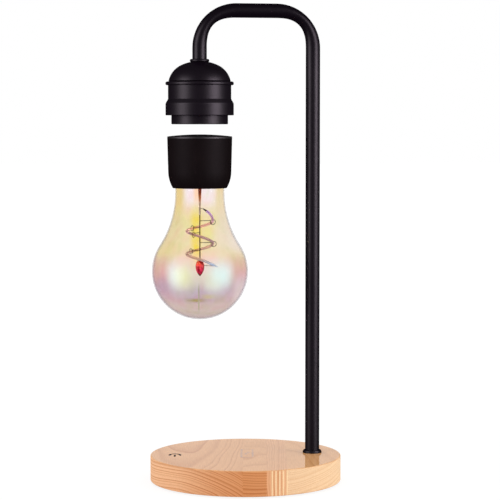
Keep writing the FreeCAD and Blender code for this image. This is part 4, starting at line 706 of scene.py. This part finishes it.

# Painted highlights: soft pale pools that stand in for the side lights' reflections, painted into
# the glass's colour at four places round the globe, two in front and two behind.
away = add_node(tree, "Math", {0: along["Y"], 1: -1.0}, operation="MULTIPLY")
turn = add_node(tree, "Math", {0: along["X"], 1: away}, operation="ARCTAN2")
quarter = add_node(tree, "Math", {0: turn, 1: math.pi / 2}, operation="PINGPONG")
sideways = add_node(tree, "Math", {0: turn}, operation="SINE")
highlight_color = add_node(tree, "MapRange", {"Value": sideways, "From Min": -HIGHLIGHT_SIDE,
                                         "From Max": HIGHLIGHT_SIDE})
highlight_color = add_node(tree, "ValToRGB", {0: highlight_color}, [
    (0.0, "E8F2EE"), (0.12, "EFF3DA"), (0.25, "E6E6B8"), (0.4, "DADAB6"), (0.62, "DCE2D2"),
    (0.75, "DCEFEA"), (1.0, "DCF0EE")])
highlight_patch = patch(tree, quarter, HIGHLIGHT_TURN, HIGHLIGHT_HEART, HIGHLIGHT_REACH)
tint = laid_over(tree, tint, highlight_color, highlight_patch,
                 patch(tree, along["Z"], HIGHLIGHT_HEIGHT, 0.0, HIGHLIGHT_SPREAD), 1.0)

# Clouds and streaks lie over it, some uneven and some on the front wall alone.
uneven = grain(tree, place, (5, 5, 9), 1.0)
uneven = add_node(tree, "MapRange", {"Value": uneven, "From Min": 0.3, "From Max": 0.6,
                                     "To Min": 0.35, "To Max": 1.0})
front = add_node(tree, "Math", {0: away, 1: 0.0}, operation="GREATER_THAN")
CLOUDS = [  # colour, then centre, inner and outer reach in mm across and up, and strength
    ("EFD442", (-3.0, 0.0, 7.0), (206.0, 11.0, 31.0), uneven),
    ("FFC890", (-2.2, 1.0, 4.6), (246.0, 4.0, 18.0), 0.65),
    ("F2C0C0", (-2.0, 13.0, 21.0), (188.5, 1.0, 6.5), 0.4),
    ("E4DC66", (6.0, 1.0, 7.0), (209.0, 2.0, 8.0), 0.4),
    ("8E8436", (-3.0, 0.0, 13.0), (155.7, 0.4, 2.6), front),
    ("C2BC62", (7.0, 0.0, 9.0), (159.0, 0.4, 3.2), front),
    ("EADFDA", (40.0, 4.0, 24.0), (212.0, 12.0, 26.0), 0.7),
    ("EEE2DC", (26.0, 8.0, 17.0), (220.0, 18.0, 36.0), 0.38),
    ("E6E8D6", (10.5, 1.0, 11.0), (165.0, 1.0, 11.0), 0.5),
    ("E8D8D4", (42.0, 10.0, 18.0), (157.0, 8.0, 22.0), 0.55),
    ("C89C94", (-44.0, 6.0, 10.0), (182.0, 14.0, 24.0), 0.4),
    ("9DA178", (-1.0, 0.2, 1.0), (157.0, 7.0, 15.0), front),
]
for color, across, up, amount in CLOUDS:
    tint = laid_over(tree, tint, linear(color), patch(tree, along["X"], *across),
                     patch(tree, along["Z"], *up), amount)
# Where the glass turns edge on, a grey lilac rim is painted in: painted shade in place of the
# dark edge that refraction would give.
painted_edge_shade = add_node(tree, "MapRange", {"Value": facing, "From Min": EDGE_SHADE_BEGINS,
                                      "From Max": EDGE_SHADE_FULL})
tint = add_node(tree, "Mix", {0: painted_edge_shade, 6: tint, 7: linear("827C88")}, data_type="RGBA")

# The eye looks through several faces of glass, so each one has only the square root of
# the tint.
wall = add_node(tree, "Gamma", {"Color": tint, "Gamma": 0.5})
tree.links.new(wall.outputs[0], shader.inputs["Base Color"])
dress(lustre, "glass_bulb")

# ---- Stem, rod and drop -----------------------------------------------------
# A drawn glass stem closes the bulb's neck and carries the wires. A thin wire rod
# runs down from it to a solid drop of ruby glass, melted on.
STEM_CLEAR, STEM_SEAL = 224, 262        # heights that the stain runs between
DROP_FOOT, DROP_TOP = 172.8, 186.7


def height_share(tree, low, high):
    """0 at one height in mm and 1 at another, along a piece."""
    rise = add_node(tree, "TexCoord").outputs["Object"]
    rise = add_node(tree, "SeparateXYZ", {0: rise}).outputs["Z"]
    return add_node(tree, "MapRange", {"Value": rise, "From Min": low * MM,
                                       "From Max": high * MM})


# Flame stained glass: deep amber where it is sealed, and clear grey lilac below.
amber, tree, shader = finish_named("flame_stained_glass", "FFFFFF", Roughness=0.05, IOR=1.2,
                                   Transmission_Weight=0.75)
stain = add_node(tree, "ValToRGB", {0: height_share(tree, STEM_CLEAR, STEM_SEAL)}, [
    (0.0, "B9B2C8"), (0.27, "C2B0A4"), (0.36, "BE7C3C"), (0.5, "7E3006"), (1.0, "561C02")])
tree.links.new(stain.outputs[0], shader.inputs["Base Color"])
dress(amber, "glass_stem")

# Ruby glass: dark red at its foot, then rose and orange, with a painted white highlight at its
# top where it meets the rod.
ruby, tree, shader = finish_named("ruby_glass", "E0304A", Roughness=0.05, IOR=1.3,
                                  Transmission_Weight=0.25)
# The ramp's palest stop, at the top, is a painted highlight.
deep = add_node(tree, "ValToRGB", {0: height_share(tree, DROP_FOOT, DROP_TOP)}, [
    (0.0, "3A0814"), (0.15, "A01838"), (0.4, "F0306C"), (0.7, "FF5A5A"), (0.9, "FF8058"),
    (1.0, "FFEAE4")])
place = add_node(tree, "TexCoord").outputs["Object"]
swirl = grain(tree, place, (1.8, 1.8, 4), 0.0)
swirl = add_node(tree, "ValToRGB", {0: swirl}, [(0.4, "A83058"), (0.52, "FFFFFF")])
deep = add_node(tree, "Mix", {0: 1.0, 6: deep, 7: swirl}, data_type="RGBA", blend_type="MULTIPLY")
tree.links.new(deep.outputs[2], shader.inputs["Base Color"])
dress(ruby, "glass_bead")

# Drawn wire, oxidised dark: a brown that is nearly black.
dress(mottled("drawn_dark_rod", "241404", "3C2A0A", (0.5, 0.5, 3), 0.05, Roughness=0.4),
      "centre_rod")

# ---- Filament ---------------------------------------------------------------
# A flexible strip of light emitting chips in a silicone sleeve, bent to a leaning
# spiral. Pins end it, wires bring it current, and hooks on the rod hold it.
FILAMENT_FRONT, FILAMENT_BACK = -7, 5   # places in mm, toward the user and away
UPPER_TURNS, LOWER_TURNS, LAST_TURN = (210, 219), (206, 188), (188, 183)    # heights in mm
PIN_HEIGHTS = (200, 190)
CHIPS_SHOW = 0.35

# Silicone loaded with phosphor, unlit: milky, lilac in front and salmon behind, greyer
# below and blue at its very end, with the chips showing faintly through.
sleeve, tree, shader = finish_named("phosphor_silicone", "B9A0D8", Roughness=0.5,
                                    Specular_IOR_Level=0.3)
place = add_node(tree, "TexCoord").outputs["Object"]
along = add_node(tree, "SeparateXYZ", {0: place}).outputs
depth = add_node(tree, "MapRange", {"Value": along["Y"], "From Min": FILAMENT_FRONT * MM,
                                    "From Max": FILAMENT_BACK * MM})
hue = add_node(tree, "Mix", {0: height_share(tree, *UPPER_TURNS), 6: linear("B090BC"),
                             7: linear("B498FF")}, data_type="RGBA")
for share, color in ((depth, "FCC9DC"), (height_share(tree, *LOWER_TURNS), "BCA4AA"),
                     (height_share(tree, *LAST_TURN), "B0D4FF")):
    hue = add_node(tree, "Mix", {0: share, 6: hue, 7: linear(color)}, data_type="RGBA")
chips = add_node(tree, "ValToRGB", {0: grain(tree, place, (0.9, 0.9, 0.9))},
                 [(0.35, "B8B8B8"), (0.65, "FFFFFF")])
hue = add_node(tree, "Mix", {0: CHIPS_SHOW, 6: hue, 7: chips}, data_type="RGBA",
               blend_type="MULTIPLY")
tree.links.new(hue.outputs[2], shader.inputs["Base Color"])
dress(sleeve, "filament")

# Nickel, dulled by the weld: dark on the upper pin and blue grey on the lower one.
pin, tree, shader = finish_named("nickel_pin", "5A5460", Roughness=0.6, Metallic=0.2)
dulled = add_node(tree, "ValToRGB", {0: height_share(tree, *PIN_HEIGHTS)},
                  [(0.0, "4A4452"), (1.0, "B4CCE4")])
tree.links.new(dulled.outputs[0], shader.inputs["Base Color"])
dress(pin, "filament_clips")

# Oxidised molybdenum wire: a dark brown grey with hardly a shine.
dress(mottled("oxidised_molybdenum", "3A332C", "544A40", (0.4, 0.4, 0.4), 0.05, Roughness=0.7,
              Metallic=0.3, Specular_IOR_Level=0.1), "lead_wires", "support_hooks")
